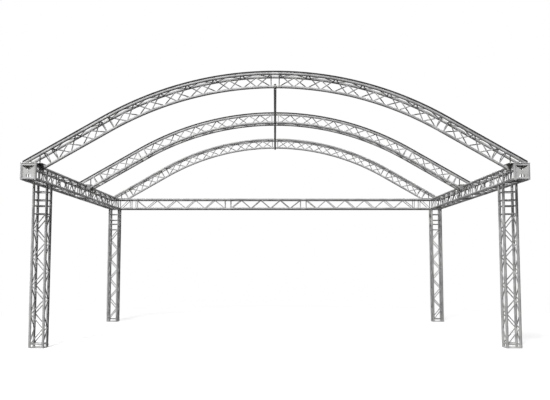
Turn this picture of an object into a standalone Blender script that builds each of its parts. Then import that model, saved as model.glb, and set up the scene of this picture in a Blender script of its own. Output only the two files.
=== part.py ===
"""Arched truss stage roof.

Four box truss legs carry two side beams and a rear beam, and three arched trusses span from side to side.
Metres, +Z up, +Y to the rear. The origin is on the floor, in the middle of the plan.
"""
import math

import bmesh
import bpy
from mathutils import Matrix, Vector

# Tubes and bars
CHORD_D = 0.051
BRACE_D = 0.020
RUNG_D = 0.021
CHORD_SIDES = 8
ARCH_CHORD_SIDES = 6
BRACE_SIDES = 4
PIN_SIDES = 8
FIT_GAP = 0.0003

# Box truss
BOX_SPACING = 0.239
LACING_PITCH = 0.26
END_RUNG = 0.075

# Plan and heights
LEG_SPAN_X = 8.50
LEG_SPAN_Y = 6.08
FRONT_REACH = 0.67
BEAM_Z = 3.075
ARM = 0.50
BASE_T = 0.010
BASE_CHAMFER = 0.012
LEG_FOOT_RUNG = 0.061
LEG_HEAD_RUNGS = (0.030, 0.175)
CORNER_ARM_RUNGS = (0.075, 0.225)

# Beam modules; the last module of each beam takes up what is left
SIDE_FRONT_LENGTH = 1.50
SEAT_LENGTH = 1.08
SEAT_PITCH = 0.21
REAR_LEFT_LENGTH = 2.50
REAR_MIDDLE_LENGTH = 2.00

# Arches: distances run down the top tube from the crown, and levels are radial from it.
# The landing is how far outside the legs' centre line the top tube's line meets the top of the beam.
ARCH_R = 5.95
ARCH_LANDING = 0.08094
ARCH_SWEEP = math.radians(30)
ARCH_FACETS = 6
ARCH_STRAIGHT = 1.11
ARCH_PITCH = 0.24
ARCH_END_RUNG = 0.0725

# Arch feet: the tip is how far the plate reaches inward past the beam
FOOT_PLATE_T = 0.010
FOOT_TIP = 0.085
FOOT_TIP_REAR = 0.235
FOOT_POST_INSET = 0.193
FOOT_BLOCK_T = 0.075
FOOT_BLOCK_W = 0.064
FOOT_BLOCK_DROP = 0.115
FOOT_CHORD_BITE = 0.015

# Cover rail on each arch
RAIL_W = 0.030
RAIL_H = 0.024
RAIL_END_INSET = 0.040

# Front end boxes: the face plate has a notch at the top and a window at the bottom
BOX_CROSS_D = 0.050
FACE_T = 0.006
FACE_SETBACK = 0.012
FACE_NOTCH_DEPTH = 0.065
FACE_WINDOW_W = 0.110
FACE_WINDOW_TOP_W = 0.070
FACE_WINDOW_H = 0.050
FACE_HOLE_D = 0.014

# Ridge struts and their tube clamps
STRUT_D = 0.050
STRUT_BITE = 0.004
CLAMP_W = 0.040
CLAMP_WALL = 0.009
CLAMP_SPLIT = 0.004
KNUCKLE_R = 0.0075
KNUCKLE_FAR = 0.015
KNUCKLE_START_DEG = 160
KNUCKLE_STEPS = 5
LUG_STEPS = 4
LUG_ROOT = 0.0045
PIN_D = 0.008
PIN_CLEARANCE = 0.0004
LUG_GAP = 0.014
LUG_INSET = 0.001
FORK_GAP = 0.011
BOLT_BACK = 0.025
BOLT_D = 0.010
BOLT_TAIL = 0.006
BOLT_START = 0.00575
NUT_BITE = 0.0025
PRONG_T = 0.007
PRONG_BACK = 0.006
NUT_SLACK = 0.004
NUT_T = 0.010
NUT_D = 0.017
WING_SPAN = 0.040
WING_T = 0.004
WING_INSET = 0.001
BOLT_SIDES = 6

HALF = BOX_SPACING / 2
SHELL = HALF + CHORD_D / 2
TRIANGLE_H = BOX_SPACING * math.sqrt(3) / 2
TUBE_R = CHORD_D / 2
WELD_ROOT = CHORD_D / 4
FRONT_BOX_Y = -(LEG_SPAN_Y + FRONT_REACH) / 2
FRONT_LEG_Y = FRONT_BOX_Y + FRONT_REACH
REAR_LEG_Y = FRONT_LEG_Y + LEG_SPAN_Y
REAR_RIGHT_LENGTH = LEG_SPAN_X - 2 * ARM - REAR_LEFT_LENGTH - REAR_MIDDLE_LENGTH
SIDE_REAR_LENGTH = LEG_SPAN_Y - 2 * ARM - SIDE_FRONT_LENGTH - SEAT_LENGTH
LEG_X = LEG_SPAN_X / 2
BEAM_TOP_Z = BEAM_Z + SHELL
STRAIGHT_RUN = (LEG_X + ARCH_LANDING - ARCH_R * math.sin(ARCH_SWEEP)) / math.cos(ARCH_SWEEP)
ARCH_CROWN_Z = BEAM_TOP_Z + ARCH_R * (1 - math.cos(ARCH_SWEEP)) + STRAIGHT_RUN * math.sin(ARCH_SWEEP)
CURVE_END = ARCH_R * ARCH_SWEEP
STRAIGHT_END = CURVE_END + ARCH_STRAIGHT
RIDGE_Z = ARCH_CROWN_Z - TRIANGLE_H
HEX_SLOPE = math.tan(math.pi / ARCH_CHORD_SIDES)
CLAMP_BORE_R = (TUBE_R + FIT_GAP) / math.cos(math.pi / ARCH_CHORD_SIDES)
CLAMP_OUTER_R = (TUBE_R + FIT_GAP + CLAMP_WALL) / math.cos(math.pi / ARCH_CHORD_SIDES)
HINGE_DROP = CLAMP_OUTER_R + KNUCKLE_R + PIN_CLEARANCE
BOLT_RISE = CLAMP_OUTER_R + BOLT_D / 2 + PIN_CLEARANCE
LUG_OUT = CLAMP_W / 2 - LUG_INSET
SMOOTH_ANGLE = math.radians(65)
FLAT_ANGLE = math.radians(0.05)
WELD_DISTANCE = 0.00002

X_AXIS = Vector((1, 0, 0))
Y_AXIS = Vector((0, 1, 0))
Z_AXIS = Vector((0, 0, 1))


def clear_scene():
    """Empties the scene."""
    for item in list(bpy.data.objects):
        bpy.data.objects.remove(item, do_unlink=True)


def make_material(name, colour, roughness, metallic):
    """A plain surface with one colour."""
    material = bpy.data.materials.new(name)
    material.use_nodes = True
    shader = material.node_tree.nodes["Principled BSDF"]
    shader.inputs["Base Color"].default_value = (*colour, 1)
    shader.inputs["Roughness"].default_value = roughness
    shader.inputs["Metallic"].default_value = metallic
    return material


def slide_onto_plane(verts, point, heading, normal):
    """Moves each vertex along heading until it lies on the plane through point."""
    for vert in verts:
        travel = (point - vert.co).dot(normal) / heading.dot(normal)
        vert.co += heading * travel


def sweep(bm, cap, points, end_normal):
    """Extrudes a flat face along a path, with a mitre at each bend."""
    headings = [(after - before).normalized() for before, after in zip(points, points[1:])]
    normals = [before + after for before, after in zip(headings, headings[1:])] + [end_normal]
    for point, heading, normal in zip(points[1:], headings, normals):
        grown = bmesh.ops.extrude_face_region(bm, geom=[cap, *cap.edges])["geom"]
        cap = next(item for item in grown if isinstance(item, bmesh.types.BMFace))
        slide_onto_plane(cap.verts, point, heading, normal)


def rod(bm, path, width, sides, facing, end_normal=None):
    """Sweeps a regular polygon, width across its flats, along a path; one flat looks toward facing."""
    points = [Vector(point) for point in path]
    heading = (points[1] - points[0]).normalized()
    across = (facing - facing.project(heading)).normalized()
    frame = Matrix((across, heading.cross(across), heading)).transposed().to_4x4()
    frame.translation = points[0]
    frame = frame @ Matrix.Rotation(math.pi / sides - math.pi / 2, 4, 'Z')
    radius = width / 2 / math.cos(math.pi / sides)
    ring = bmesh.ops.create_circle(bm, cap_ends=True, segments=sides, radius=radius, matrix=frame)["verts"]
    if end_normal is None:
        end_normal = (points[-1] - points[-2]).normalized()
    sweep(bm, ring[0].link_faces[0], points, end_normal)


def slab(bm, outline, travel):
    """Extrudes a flat outline by the vector travel."""
    face = bm.faces.new([bm.verts.new(point) for point in outline])
    grown = bmesh.ops.extrude_face_region(bm, geom=[face, *face.edges])["geom"]
    verts = [item for item in grown if isinstance(item, bmesh.types.BMVert)]
    bmesh.ops.translate(bm, verts=verts, vec=travel)


def block(bm, low, high):
    """A rectangular block between two corners."""
    low = Vector(low)
    high = Vector(high)
    matrix = Matrix.Translation((low + high) / 2) @ Matrix.Diagonal((*(high - low), 1))
    bmesh.ops.create_cube(bm, size=1, matrix=matrix)


def to_mesh(bm, name):
    """Turns the closed shapes of a bmesh outward and stores them."""
    bmesh.ops.recalc_face_normals(bm, faces=bm.faces)
    mesh = bpy.data.meshes.new(name)
    bm.to_mesh(mesh)
    bm.free()
    return mesh


def combine(mesh, bm, operation='UNION'):
    """Joins the closed shapes of bm to the mesh, or cuts them from it."""
    body = bpy.data.objects.new("body", mesh)
    tool = bpy.data.objects.new("tool", to_mesh(bm, "tool"))
    for item in (body, tool):
        bpy.context.scene.collection.objects.link(item)
    modifier = body.modifiers.new("combine", 'BOOLEAN')
    modifier.operation = operation
    modifier.solver = 'EXACT'
    modifier.use_self = True
    modifier.object = tool
    depsgraph = bpy.context.evaluated_depsgraph_get()
    result = bpy.data.meshes.new_from_object(body.evaluated_get(depsgraph))
    result.name = mesh.name
    tidied = bmesh.new()
    tidied.from_mesh(result)
    bmesh.ops.remove_doubles(tidied, verts=tidied.verts, dist=WELD_DISTANCE)
    bmesh.ops.dissolve_limit(tidied, angle_limit=FLAT_ANGLE, verts=tidied.verts, edges=tidied.edges)
    tidied.to_mesh(result)
    tidied.free()
    for item in (body, tool):
        bpy.data.objects.remove(item)
    return result


def mirrored(mesh, axis):
    """The mesh's other hand, mirrored along an axis."""
    other = mesh.copy()
    other.transform(Matrix.Scale(-1, 4, axis))
    other.flip_normals()
    return other


def place(name, mesh, material, location=(0, 0, 0), rotation=(0, 0, 0), parent=None):
    """Puts a mesh into the scene as one named piece."""
    mesh.shade_smooth()
    mesh.set_sharp_from_angle(angle=SMOOTH_ANGLE)
    if not mesh.materials:
        mesh.materials.append(material)
    piece = bpy.data.objects.new(name, mesh)
    piece.location = location
    piece.rotation_euler = rotation
    piece.parent = parent
    bpy.context.scene.collection.objects.link(piece)
    return piece


# Box trusses, built along +Z

def box_corner(index):
    """Plan position of one of the four tubes, counted round the box."""
    return ((-HALF, HALF, HALF, -HALF)[index % 4], (-HALF, -HALF, HALF, HALF)[index % 4])


def box_line(index):
    """The centre line of one tube, as a function of height."""
    x, y = box_corner(index)
    return lambda height: Vector((x, y, height))


def rung(bm, start, end, along, width=RUNG_D):
    """A straight cross bar between two tube centres, ending inside the tubes."""
    heading = (end - start).normalized()
    path = (start + heading * WELD_ROOT, end - heading * WELD_ROOT)
    rod(bm, path, width, BRACE_SIDES, heading.cross(along))


def lacing(bm, first, second, marks, sag=0.0):
    """One bar to and fro between two tubes, welded at its ends and just clear of the tubes between them."""
    spacing = (second(marks[0]) - first(marks[0])).length
    step = (first(marks[1]) - first(marks[0])).length
    mitre = BRACE_D / 2 * math.hypot(1, (spacing - CHORD_D) / step)
    clear = TUBE_R + FIT_GAP + sag + mitre
    path = []
    for index, mark in enumerate(marks):
        near, far = (second, first) if index % 2 else (first, second)
        inset = WELD_ROOT if index in (0, len(marks) - 1) else clear
        path.append(near(mark) + (far(mark) - near(mark)).normalized() * inset)
    along = first(marks[1]) - first(marks[0])
    rod(bm, path, BRACE_D, BRACE_SIDES, (second(marks[0]) - first(marks[0])).cross(along))


def spaced(start, end, pitch):
    """Marks from start to end, as near to the pitch as whole panels allow."""
    count = max(1, round((end - start) / pitch))
    return [start + (end - start) * index / count for index in range(count + 1)]


def box_chords(bm, low, high):
    """The four tubes of a box truss."""
    for index in range(4):
        line = box_line(index)
        rod(bm, (line(low), line(high)), CHORD_D, CHORD_SIDES, X_AXIS)


def box_rungs(bm, height):
    """A square of four cross bars."""
    for index in range(4):
        rung(bm, box_line(index)(height), box_line(index + 1)(height), Z_AXIS)


def box_lacing(bm, low, high, first_side):
    """Lacing on all four faces; opposite faces run the same way."""
    marks = spaced(low + RUNG_D, high - RUNG_D, LACING_PITCH)
    for first, second in ((0, 1), (3, 2), (1, 2), (0, 3)):
        lines = (box_line(first), box_line(second))
        if first_side > 0:
            lines = lines[::-1]
        lacing(bm, *lines, marks)


def box_truss(name, low, high, low_rungs, high_rungs, first_side):
    """A straight box truss from low to high; rungs are measured inward from its two joint planes."""
    tubes = bmesh.new()
    box_chords(tubes, low + FIT_GAP / 2, high - FIT_GAP / 2)
    bars = bmesh.new()
    for inset in low_rungs:
        box_rungs(bars, low + inset)
    for inset in high_rungs:
        box_rungs(bars, high - inset)
    box_lacing(bars, low + max(low_rungs), high - max(high_rungs), first_side)
    return combine(to_mesh(tubes, name), bars)


def base_plate_mesh():
    """A square plate with chamfered corners."""
    bm = bmesh.new()
    block(bm, (-SHELL, -SHELL, 0), (SHELL, SHELL, BASE_T - FIT_GAP / 2))
    uprights = [edge for edge in bm.edges if abs(edge.verts[0].co.z - edge.verts[1].co.z) > BASE_T / 2]
    bmesh.ops.bevel(bm, geom=uprights, offset=BASE_CHAMFER, segments=1, affect='EDGES', material=-1)
    return to_mesh(bm, "base_plate")


def leg_mesh():
    """A leg from its base plate up to the corner block's lower arm, measured from the base plate's top."""
    return box_truss("leg_truss", 0, BEAM_Z - ARM - BASE_T, (LEG_FOOT_RUNG,), LEG_HEAD_RUNGS, -1)


def seat_mesh():
    """The short beam module under an arch foot: squares of cross bars, with lacing only at its front."""
    tubes = bmesh.new()
    box_chords(tubes, FIT_GAP / 2, SEAT_LENGTH - FIT_GAP / 2)
    bars = bmesh.new()
    arch_mark = -FRONT_LEG_Y - ARM - SIDE_FRONT_LENGTH
    for height in (END_RUNG, arch_mark - HALF, arch_mark + HALF, SEAT_LENGTH - END_RUNG):
        box_rungs(bars, height)
    marks = spaced(END_RUNG + RUNG_D, arch_mark - HALF - RUNG_D, SEAT_PITCH)
    for index in (1, 3):
        lacing(bars, box_line(index), box_line(index + 1), marks)
    return combine(to_mesh(tubes, "seat_truss"), bars)


# Corner blocks, centred on the beams' centre line

def corner_legs(bm):
    """The four upright tubes of a corner block's lower arm, which end in the lower beam tubes."""
    for index in range(4):
        x, y = box_corner(index)
        rod(bm, ((x, y, FIT_GAP / 2 - ARM), (x, y, -HALF)), CHORD_D, CHORD_SIDES, X_AXIS)


def corner_posts(bm):
    """Four posts between the lower and upper beam tubes."""
    for index in range(4):
        line = box_line(index)
        rung(bm, line(-HALF), line(HALF), X_AXIS)


def arm_rungs(bm, outward, insets):
    """Squares of cross bars on an arm that points along outward."""
    turn = Z_AXIS.rotation_difference(outward).to_matrix()
    for inset in insets:
        for index in range(4):
            ends = [turn @ box_line(corner)(ARM - inset) for corner in (index, index + 1)]
            rung(bm, *ends, outward)


def front_corner_mesh():
    """Three arms: forward to the end box, back to the side beam, and down to the leg."""
    tubes = bmesh.new()
    for index in range(4):
        x, z = box_corner(index)
        ends = ((x, FIT_GAP / 2 - ARM, z), (x, ARM - FIT_GAP / 2, z))
        rod(tubes, ends, CHORD_D, CHORD_SIDES, X_AXIS)
    legs = bmesh.new()
    corner_legs(legs)
    frame = combine(to_mesh(tubes, "front_corner"), legs)
    bars = bmesh.new()
    corner_posts(bars)
    for y in (-HALF, HALF):
        for z in (-HALF, HALF):
            rung(bars, Vector((-HALF, y, z)), Vector((HALF, y, z)), Y_AXIS)
    arm_rungs(bars, -Y_AXIS, (END_RUNG,))
    arm_rungs(bars, Y_AXIS, (END_RUNG,))
    arm_rungs(bars, -Z_AXIS, CORNER_ARM_RUNGS)
    return combine(frame, bars)


def rear_corner_mesh():
    """The left rear corner: arms forward to the side beam, inward to the rear beam, and down to the leg."""
    tubes = bmesh.new()
    reach = ARM - FIT_GAP / 2
    for z in (-HALF, HALF):
        for bend in (Vector((-HALF, HALF, z)), Vector((HALF, -HALF, z))):
            path = (Vector((bend.x, -reach, z)), bend, Vector((reach, bend.y, z)))
            rod(tubes, path, CHORD_D, CHORD_SIDES, Z_AXIS)
    legs = bmesh.new()
    corner_legs(legs)
    frame = combine(to_mesh(tubes, "rear_corner"), legs)
    bars = bmesh.new()
    corner_posts(bars)
    for z in (-HALF, HALF):
        inner = Vector((HALF, -HALF, z))
        rung(bars, Vector((-HALF, -HALF, z)), inner, Y_AXIS)
        rung(bars, Vector((HALF, HALF, z)), inner, X_AXIS)
    arm_rungs(bars, -Y_AXIS, (END_RUNG,))
    arm_rungs(bars, X_AXIS, (END_RUNG,))
    arm_rungs(bars, -Z_AXIS, CORNER_ARM_RUNGS)
    return combine(frame, bars)


def face_plate_mesh():
    """The front plate of an end box: a V notch on top, a window at the bottom, a hole in the middle."""
    back = FACE_SETBACK + FACE_T - SHELL
    low = TUBE_R - HALF
    plate = bmesh.new()
    block(plate, (-HALF, FACE_SETBACK - SHELL, -HALF), (HALF, back, HALF))
    cutters = bmesh.new()
    notch = ((low, SHELL), (-low, SHELL), (-low, -low), (0, -low - FACE_NOTCH_DEPTH), (low, -low))
    window = ((-FACE_WINDOW_W / 2, low), (FACE_WINDOW_W / 2, low),
              (FACE_WINDOW_TOP_W / 2, low + FACE_WINDOW_H), (-FACE_WINDOW_TOP_W / 2, low + FACE_WINDOW_H))
    for outline in (notch, window):
        slab(cutters, [(x, -BOX_SPACING, z) for x, z in outline], Y_AXIS * BOX_SPACING)
    rod(cutters, ((0, -BOX_SPACING, 0), (0, 0, 0)), FACE_HOLE_D, PIN_SIDES, X_AXIS)
    return combine(to_mesh(plate, "face_plate"), cutters, 'DIFFERENCE')


def front_box_mesh():
    """A front end box: tube frame, face plate, and four stubs toward the corner block's forward arm."""
    tubes = bmesh.new()
    stub = FRONT_REACH - ARM - FIT_GAP / 2
    for x in (-HALF, HALF):
        path = ((x, stub, HALF), (x, -HALF, HALF), (x, -HALF, -HALF), (x, stub, -HALF))
        rod(tubes, path, CHORD_D, CHORD_SIDES, X_AXIS)
    bars = bmesh.new()
    for side in (-HALF, HALF):
        rung(bars, Vector((side, HALF, -HALF)), Vector((side, HALF, HALF)), X_AXIS)
        rung(bars, Vector((-HALF, HALF, side)), Vector((HALF, HALF, side)), Y_AXIS)
        rod(bars, ((-HALF, -HALF, side), (HALF, -HALF, side)), BOX_CROSS_D, CHORD_SIDES, Y_AXIS)
    bars.from_mesh(face_plate_mesh())
    return combine(to_mesh(tubes, "front_box"), bars)


# Arches, built as their left halves

def arch_point(distance, level, y):
    """A point on the left side of an arch."""
    bend = min(distance / ARCH_R, ARCH_SWEEP)
    straight = max(distance - ARCH_R * ARCH_SWEEP, 0)
    radius = ARCH_R + level
    x = -radius * math.sin(bend) - straight * math.cos(bend)
    z = ARCH_CROWN_Z - ARCH_R + radius * math.cos(bend) - straight * math.sin(bend)
    return Vector((x, y, z))


def arch_line(level, y):
    """One tube's centre line, as a function of distance."""
    return lambda distance: arch_point(distance, level, y)


def distance_at(level, x=None, z=None):
    """The distance at which a straight part's line of this level reaches a given x or z."""
    start = arch_point(CURVE_END, level, 0)
    if x is not None:
        return CURVE_END + (start.x - x) / math.cos(ARCH_SWEEP)
    return CURVE_END + (start.z - z) / math.sin(ARCH_SWEEP)


def arch_heading(distance):
    """The direction down the left side of the arch."""
    bend = min(distance / ARCH_R, ARCH_SWEEP)
    return Vector((-math.cos(bend), 0, -math.sin(bend)))


def arch_path(level, y, start, end):
    """One tube's path: flat facets that touch the true curve at the crown and at its lower end."""
    facet = CURVE_END / ARCH_FACETS
    bulge = (ARCH_R + level) * (1 / math.cos(ARCH_SWEEP / ARCH_FACETS / 2) - 1)
    bends = [(index + 0.5) * facet for index in range(ARCH_FACETS)]
    path = [arch_point(bend, level + bulge, y) for bend in bends if start < bend < end]
    return [arch_point(start, level, y), *path, arch_point(end, level, y)]


APEX_DOWN = ((0, -HALF), (0, HALF), (-TRIANGLE_H, 0))
APEX_UP = ((-TRIANGLE_H, -HALF), (-TRIANGLE_H, HALF), (0, 0))


def triangle_faces(lines):
    """The three laced faces, as pairs of lines; the two sloping faces run in opposite phase."""
    front, rear, apex = lines
    if front(0).z > apex(0).z:
        return (front, apex), (apex, rear), (rear, front)
    return (apex, front), (rear, apex), (rear, front)


def arch_module(name, section, low, high):
    """A triangular truss between two joint planes of the arch."""
    start = low + FIT_GAP / 2
    end = high - FIT_GAP / 2
    tubes = bmesh.new()
    for level, y in section:
        rod(tubes, arch_path(level, y, start, end), CHORD_D, ARCH_CHORD_SIDES, Y_AXIS, arch_heading(end))
    bars = bmesh.new()
    marks = spaced(low + ARCH_END_RUNG + RUNG_D, high - ARCH_END_RUNG - RUNG_D, ARCH_PITCH)
    sag = ARCH_R * (1 / math.cos(ARCH_SWEEP / ARCH_FACETS / 2) - 1) if low < CURVE_END else 0
    for first, second in triangle_faces([arch_line(level, y) for level, y in section]):
        for mark in (low + ARCH_END_RUNG, high - ARCH_END_RUNG):
            rung(bars, first(mark), second(mark), arch_heading(mark))
        lacing(bars, first, second, marks, sag)
    return combine(to_mesh(tubes, name), bars)


def foot_mesh(name, section, tip):
    """An arch foot: tubes cut level on a plate, a post under the front top tube, and blocks inside the beam."""
    plate_low = BEAM_TOP_Z + FIT_GAP
    plate_mid = plate_low + FOOT_PLATE_T / 2
    beam_x = SHELL + FIT_GAP - LEG_X
    post_x = FOOT_POST_INSET - LEG_X
    tie_x = -LEG_X
    lines = [arch_line(level, y) for level, y in section]
    tubes = bmesh.new()
    bars = bmesh.new()
    block(bars, (-LEG_X - SHELL, -SHELL, plate_low), (beam_x + tip, SHELL, plate_low + FOOT_PLATE_T))
    for (level, y), line in zip(section, lines):
        start = line(STRAIGHT_END + FIT_GAP / 2)
        lands = line(distance_at(level, z=plate_mid))
        if lands.x < beam_x + tip:
            rod(tubes, (start, lands), CHORD_D, ARCH_CHORD_SIDES, Y_AXIS, -Z_AXIS)
        else:
            bite = line(distance_at(level, x=beam_x + FOOT_BLOCK_T - FOOT_CHORD_BITE))
            rod(tubes, (start, bite), CHORD_D, ARCH_CHORD_SIDES, Y_AXIS, -X_AXIS)
            low = (beam_x, y - FOOT_BLOCK_W / 2, plate_low - FOOT_BLOCK_DROP)
            block(bars, low, (beam_x + FOOT_BLOCK_T, y + FOOT_BLOCK_W / 2, plate_mid))
        if level == 0 and y <= 0:
            head = line(distance_at(level, x=post_x))
            rod(bars, (head, (post_x, y, plate_mid)), RUNG_D, BRACE_SIDES, X_AXIS)
    if section[1][0] == 0:
        rung(bars, *[line(distance_at(0, x=tie_x)) for line in lines[:2]], arch_heading(STRAIGHT_END))
    mark = STRAIGHT_END + ARCH_END_RUNG
    for first, second in triangle_faces(lines):
        rung(bars, first(mark), second(mark), arch_heading(mark))
    return combine(to_mesh(tubes, name), bars)


def rail_mesh():
    """The left half of a cover rail: flat on top, and shaped underneath to sit on the arch's tube."""
    crest = TUBE_R / math.cos(math.pi / ARCH_CHORD_SIDES) + FIT_GAP
    eave = crest - RAIL_W / 2 * HEX_SLOPE
    top = TUBE_R + RAIL_H
    outline = ((-RAIL_W / 2, top), (-RAIL_W / 2, eave), (0, crest), (RAIL_W / 2, eave), (RAIL_W / 2, top))
    start = FIT_GAP / 2
    bm = bmesh.new()
    cap = bm.faces.new([bm.verts.new(arch_point(start, level, y)) for y, level in outline])
    path = arch_path(0, 0, start, distance_at(0, x=RAIL_END_INSET - LEG_X - SHELL))
    sweep(bm, cap, path, -X_AXIS)
    return to_mesh(bm, "rail")


# Ridge struts and clamps. The clamped tube runs along X, and the strut leaves it toward +Y

def disc(bm, y, z, radius, low, high):
    """A round of pin sides about a line along X, no wider than its radius."""
    width = 2 * radius * math.cos(math.pi / PIN_SIDES)
    rod(bm, ((low, y, z), (high, y, z)), width, PIN_SIDES, Z_AXIS)


def plate_across(bm, outline, low, high):
    """A flat outline in (y, z), extruded along X."""
    slab(bm, [(low, y, z) for y, z in outline], X_AXIS * (high - low))


def clamp_slope(radius, y):
    """How high the sloping side of the clamp's hexagon is above the tube's axis."""
    return radius - abs(y) * HEX_SLOPE


def clamp_half(bm, side):
    """Half of the clamp's ring: the strut's half for side 1, the jaw's for side -1."""
    outline = []
    for radius, turn in ((CLAMP_OUTER_R, 1), (CLAMP_BORE_R, -1)):
        flat = radius * math.cos(math.pi / ARCH_CHORD_SIDES)
        edge = clamp_slope(radius, CLAMP_SPLIT / 2)
        points = ((CLAMP_SPLIT / 2, edge), (flat, radius / 2), (flat, -radius / 2), (CLAMP_SPLIT / 2, -edge))
        outline += points[::turn]
    plate_across(bm, [(side * y, z) for y, z in outline], -CLAMP_W / 2, CLAMP_W / 2)


def arc(y, z, start, end, steps):
    """Points of a knuckle's rounding in (y, z), from one angle to another in degrees."""
    angles = [math.radians(start + (end - start) * index / steps) for index in range(steps + 1)]
    return [(y + KNUCKLE_R * math.cos(angle), z + KNUCKLE_R * math.sin(angle)) for angle in angles]


def knuckle(side):
    """Outline of the hinge's knuckle and the web that joins it to one half of the ring."""
    near = CLAMP_SPLIT / 2
    outline = [(near, LUG_ROOT - clamp_slope(CLAMP_OUTER_R, near))]
    outline += arc(0, -HINGE_DROP, KNUCKLE_START_DEG, 360, KNUCKLE_STEPS)
    outline.append((KNUCKLE_FAR, LUG_ROOT - clamp_slope(CLAMP_OUTER_R, KNUCKLE_FAR)))
    return [(side * y, z) for y, z in outline]


def bolt_lug():
    """Outline of a lug for the bolt's pin, from the sloping side of the ring."""
    near = BOLT_BACK - KNUCKLE_R
    far = BOLT_BACK + KNUCKLE_R
    outline = [(y, LUG_ROOT + clamp_slope(CLAMP_BORE_R, y)) for y in (near, far)]
    return outline + arc(BOLT_BACK, BOLT_RISE, 0, 180, LUG_STEPS)


def saddle_lugs(bm):
    """The lugs on the strut's half, with the hinge pin below and the bolt's pin above."""
    for low, high in ((-LUG_OUT, -LUG_GAP / 2), (LUG_GAP / 2, LUG_OUT)):
        plate_across(bm, knuckle(1), low, high)
        plate_across(bm, bolt_lug(), low, high)
    for y, z in ((0, -HINGE_DROP), (BOLT_BACK, BOLT_RISE)):
        disc(bm, y, z, PIN_D / 2, -LUG_GAP, LUG_GAP)


def strut_mesh():
    """A ridge strut with half a clamp at each end, about its middle."""
    reach = (REAR_LEG_Y - HALF) / 2
    flat = CLAMP_OUTER_R * math.cos(math.pi / ARCH_CHORD_SIDES)
    tube = bmesh.new()
    end_y = reach - flat + STRUT_BITE
    rod(tube, ((0, -end_y, 0), (0, end_y, 0)), STRUT_D, CHORD_SIDES, X_AXIS)
    strut = to_mesh(tube, "ridge_strut")
    for turn in (0, math.pi):
        end = bmesh.new()
        clamp_half(end, 1)
        saddle_lugs(end)
        bmesh.ops.translate(end, verts=end.verts, vec=(0, -reach, 0))
        bmesh.ops.rotate(end, verts=end.verts, cent=(0, 0, 0), matrix=Matrix.Rotation(turn, 3, 'Z'))
        strut = combine(strut, end)
    return strut


def bored(bm, y, z, name):
    """Cuts a running hole for a pin."""
    tool = bmesh.new()
    radius = (PIN_D / 2 + PIN_CLEARANCE) / math.cos(math.pi / PIN_SIDES)
    disc(tool, y, z, radius, -LUG_GAP, LUG_GAP)
    solid = combine(bpy.data.meshes.new(name), bm)
    return combine(solid, tool, 'DIFFERENCE')


def jaw_mesh():
    """The hinged half of a clamp, with a fork for the bolt. The origin is on the hinge."""
    bm = bmesh.new()
    clamp_half(bm, -1)
    half_width = LUG_GAP / 2 - PIN_CLEARANCE
    plate_across(bm, knuckle(-1), -half_width, half_width)
    back = -PRONG_BACK
    front = back - PRONG_T
    outline = ((back, BOLT_RISE), (front, BOLT_RISE), (front, LUG_ROOT + clamp_slope(CLAMP_BORE_R, front)),
               (back, LUG_ROOT + clamp_slope(CLAMP_BORE_R, back)))
    for low, high in ((-LUG_OUT, -FORK_GAP / 2), (FORK_GAP / 2, LUG_OUT)):
        plate_across(bm, outline, low, high)
    mesh = bored(bm, 0, -HINGE_DROP, "clamp_jaw")
    mesh.transform(Matrix.Translation((0, 0, HINGE_DROP)))
    return mesh


def bolt_mesh():
    """A swing bolt: eye, shank and backed-off wing nut. The origin is on the eye."""
    bm = bmesh.new()
    half_width = LUG_GAP / 2 - PIN_CLEARANCE
    nut = -BOLT_BACK - PRONG_BACK - PRONG_T - NUT_SLACK
    disc(bm, 0, 0, KNUCKLE_R, -half_width, half_width)
    rod(bm, ((0, -BOLT_START, 0), (0, nut - NUT_BITE, 0)), BOLT_D, BOLT_SIDES, X_AXIS)
    rod(bm, ((0, nut - NUT_T + NUT_BITE, 0), (0, nut - NUT_T - BOLT_TAIL, 0)), BOLT_D, BOLT_SIDES, X_AXIS)
    rod(bm, ((0, nut, 0), (0, nut - NUT_T, 0)), NUT_D, BOLT_SIDES, X_AXIS)
    for low, high in ((-WING_SPAN / 2, -BOLT_D / 2), (BOLT_D / 2, WING_SPAN / 2)):
        block(bm, (low, nut - NUT_T + WING_INSET, -WING_T / 2), (high, nut - WING_INSET, WING_T / 2))
    return bored(bm, 0, 0, "clamp_bolt")


def build_legs(aluminium):
    """Base plates, legs, corner blocks and front end boxes."""
    plate = base_plate_mesh()
    leg = leg_mesh()
    front_corner = front_corner_mesh()
    rear_corner = rear_corner_mesh()
    front_box = front_box_mesh()
    rear_corners = {"left": rear_corner, "right": mirrored(rear_corner, X_AXIS)}
    for hand, x in (("left", -LEG_X), ("right", LEG_X)):
        for end, y in (("front", FRONT_LEG_Y), ("rear", REAR_LEG_Y)):
            place(f"base_plate_{end}_{hand}", plate, aluminium, (x, y, 0))
            place(f"leg_truss_{end}_{hand}", leg, aluminium, (x, y, BASE_T))
        place(f"corner_block_front_{hand}", front_corner, aluminium, (x, FRONT_LEG_Y, BEAM_Z))
        place(f"corner_block_rear_{hand}", rear_corners[hand], aluminium, (x, REAR_LEG_Y, BEAM_Z))
        place(f"end_box_{hand}", front_box, aluminium, (x, FRONT_BOX_Y, BEAM_Z))


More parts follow.
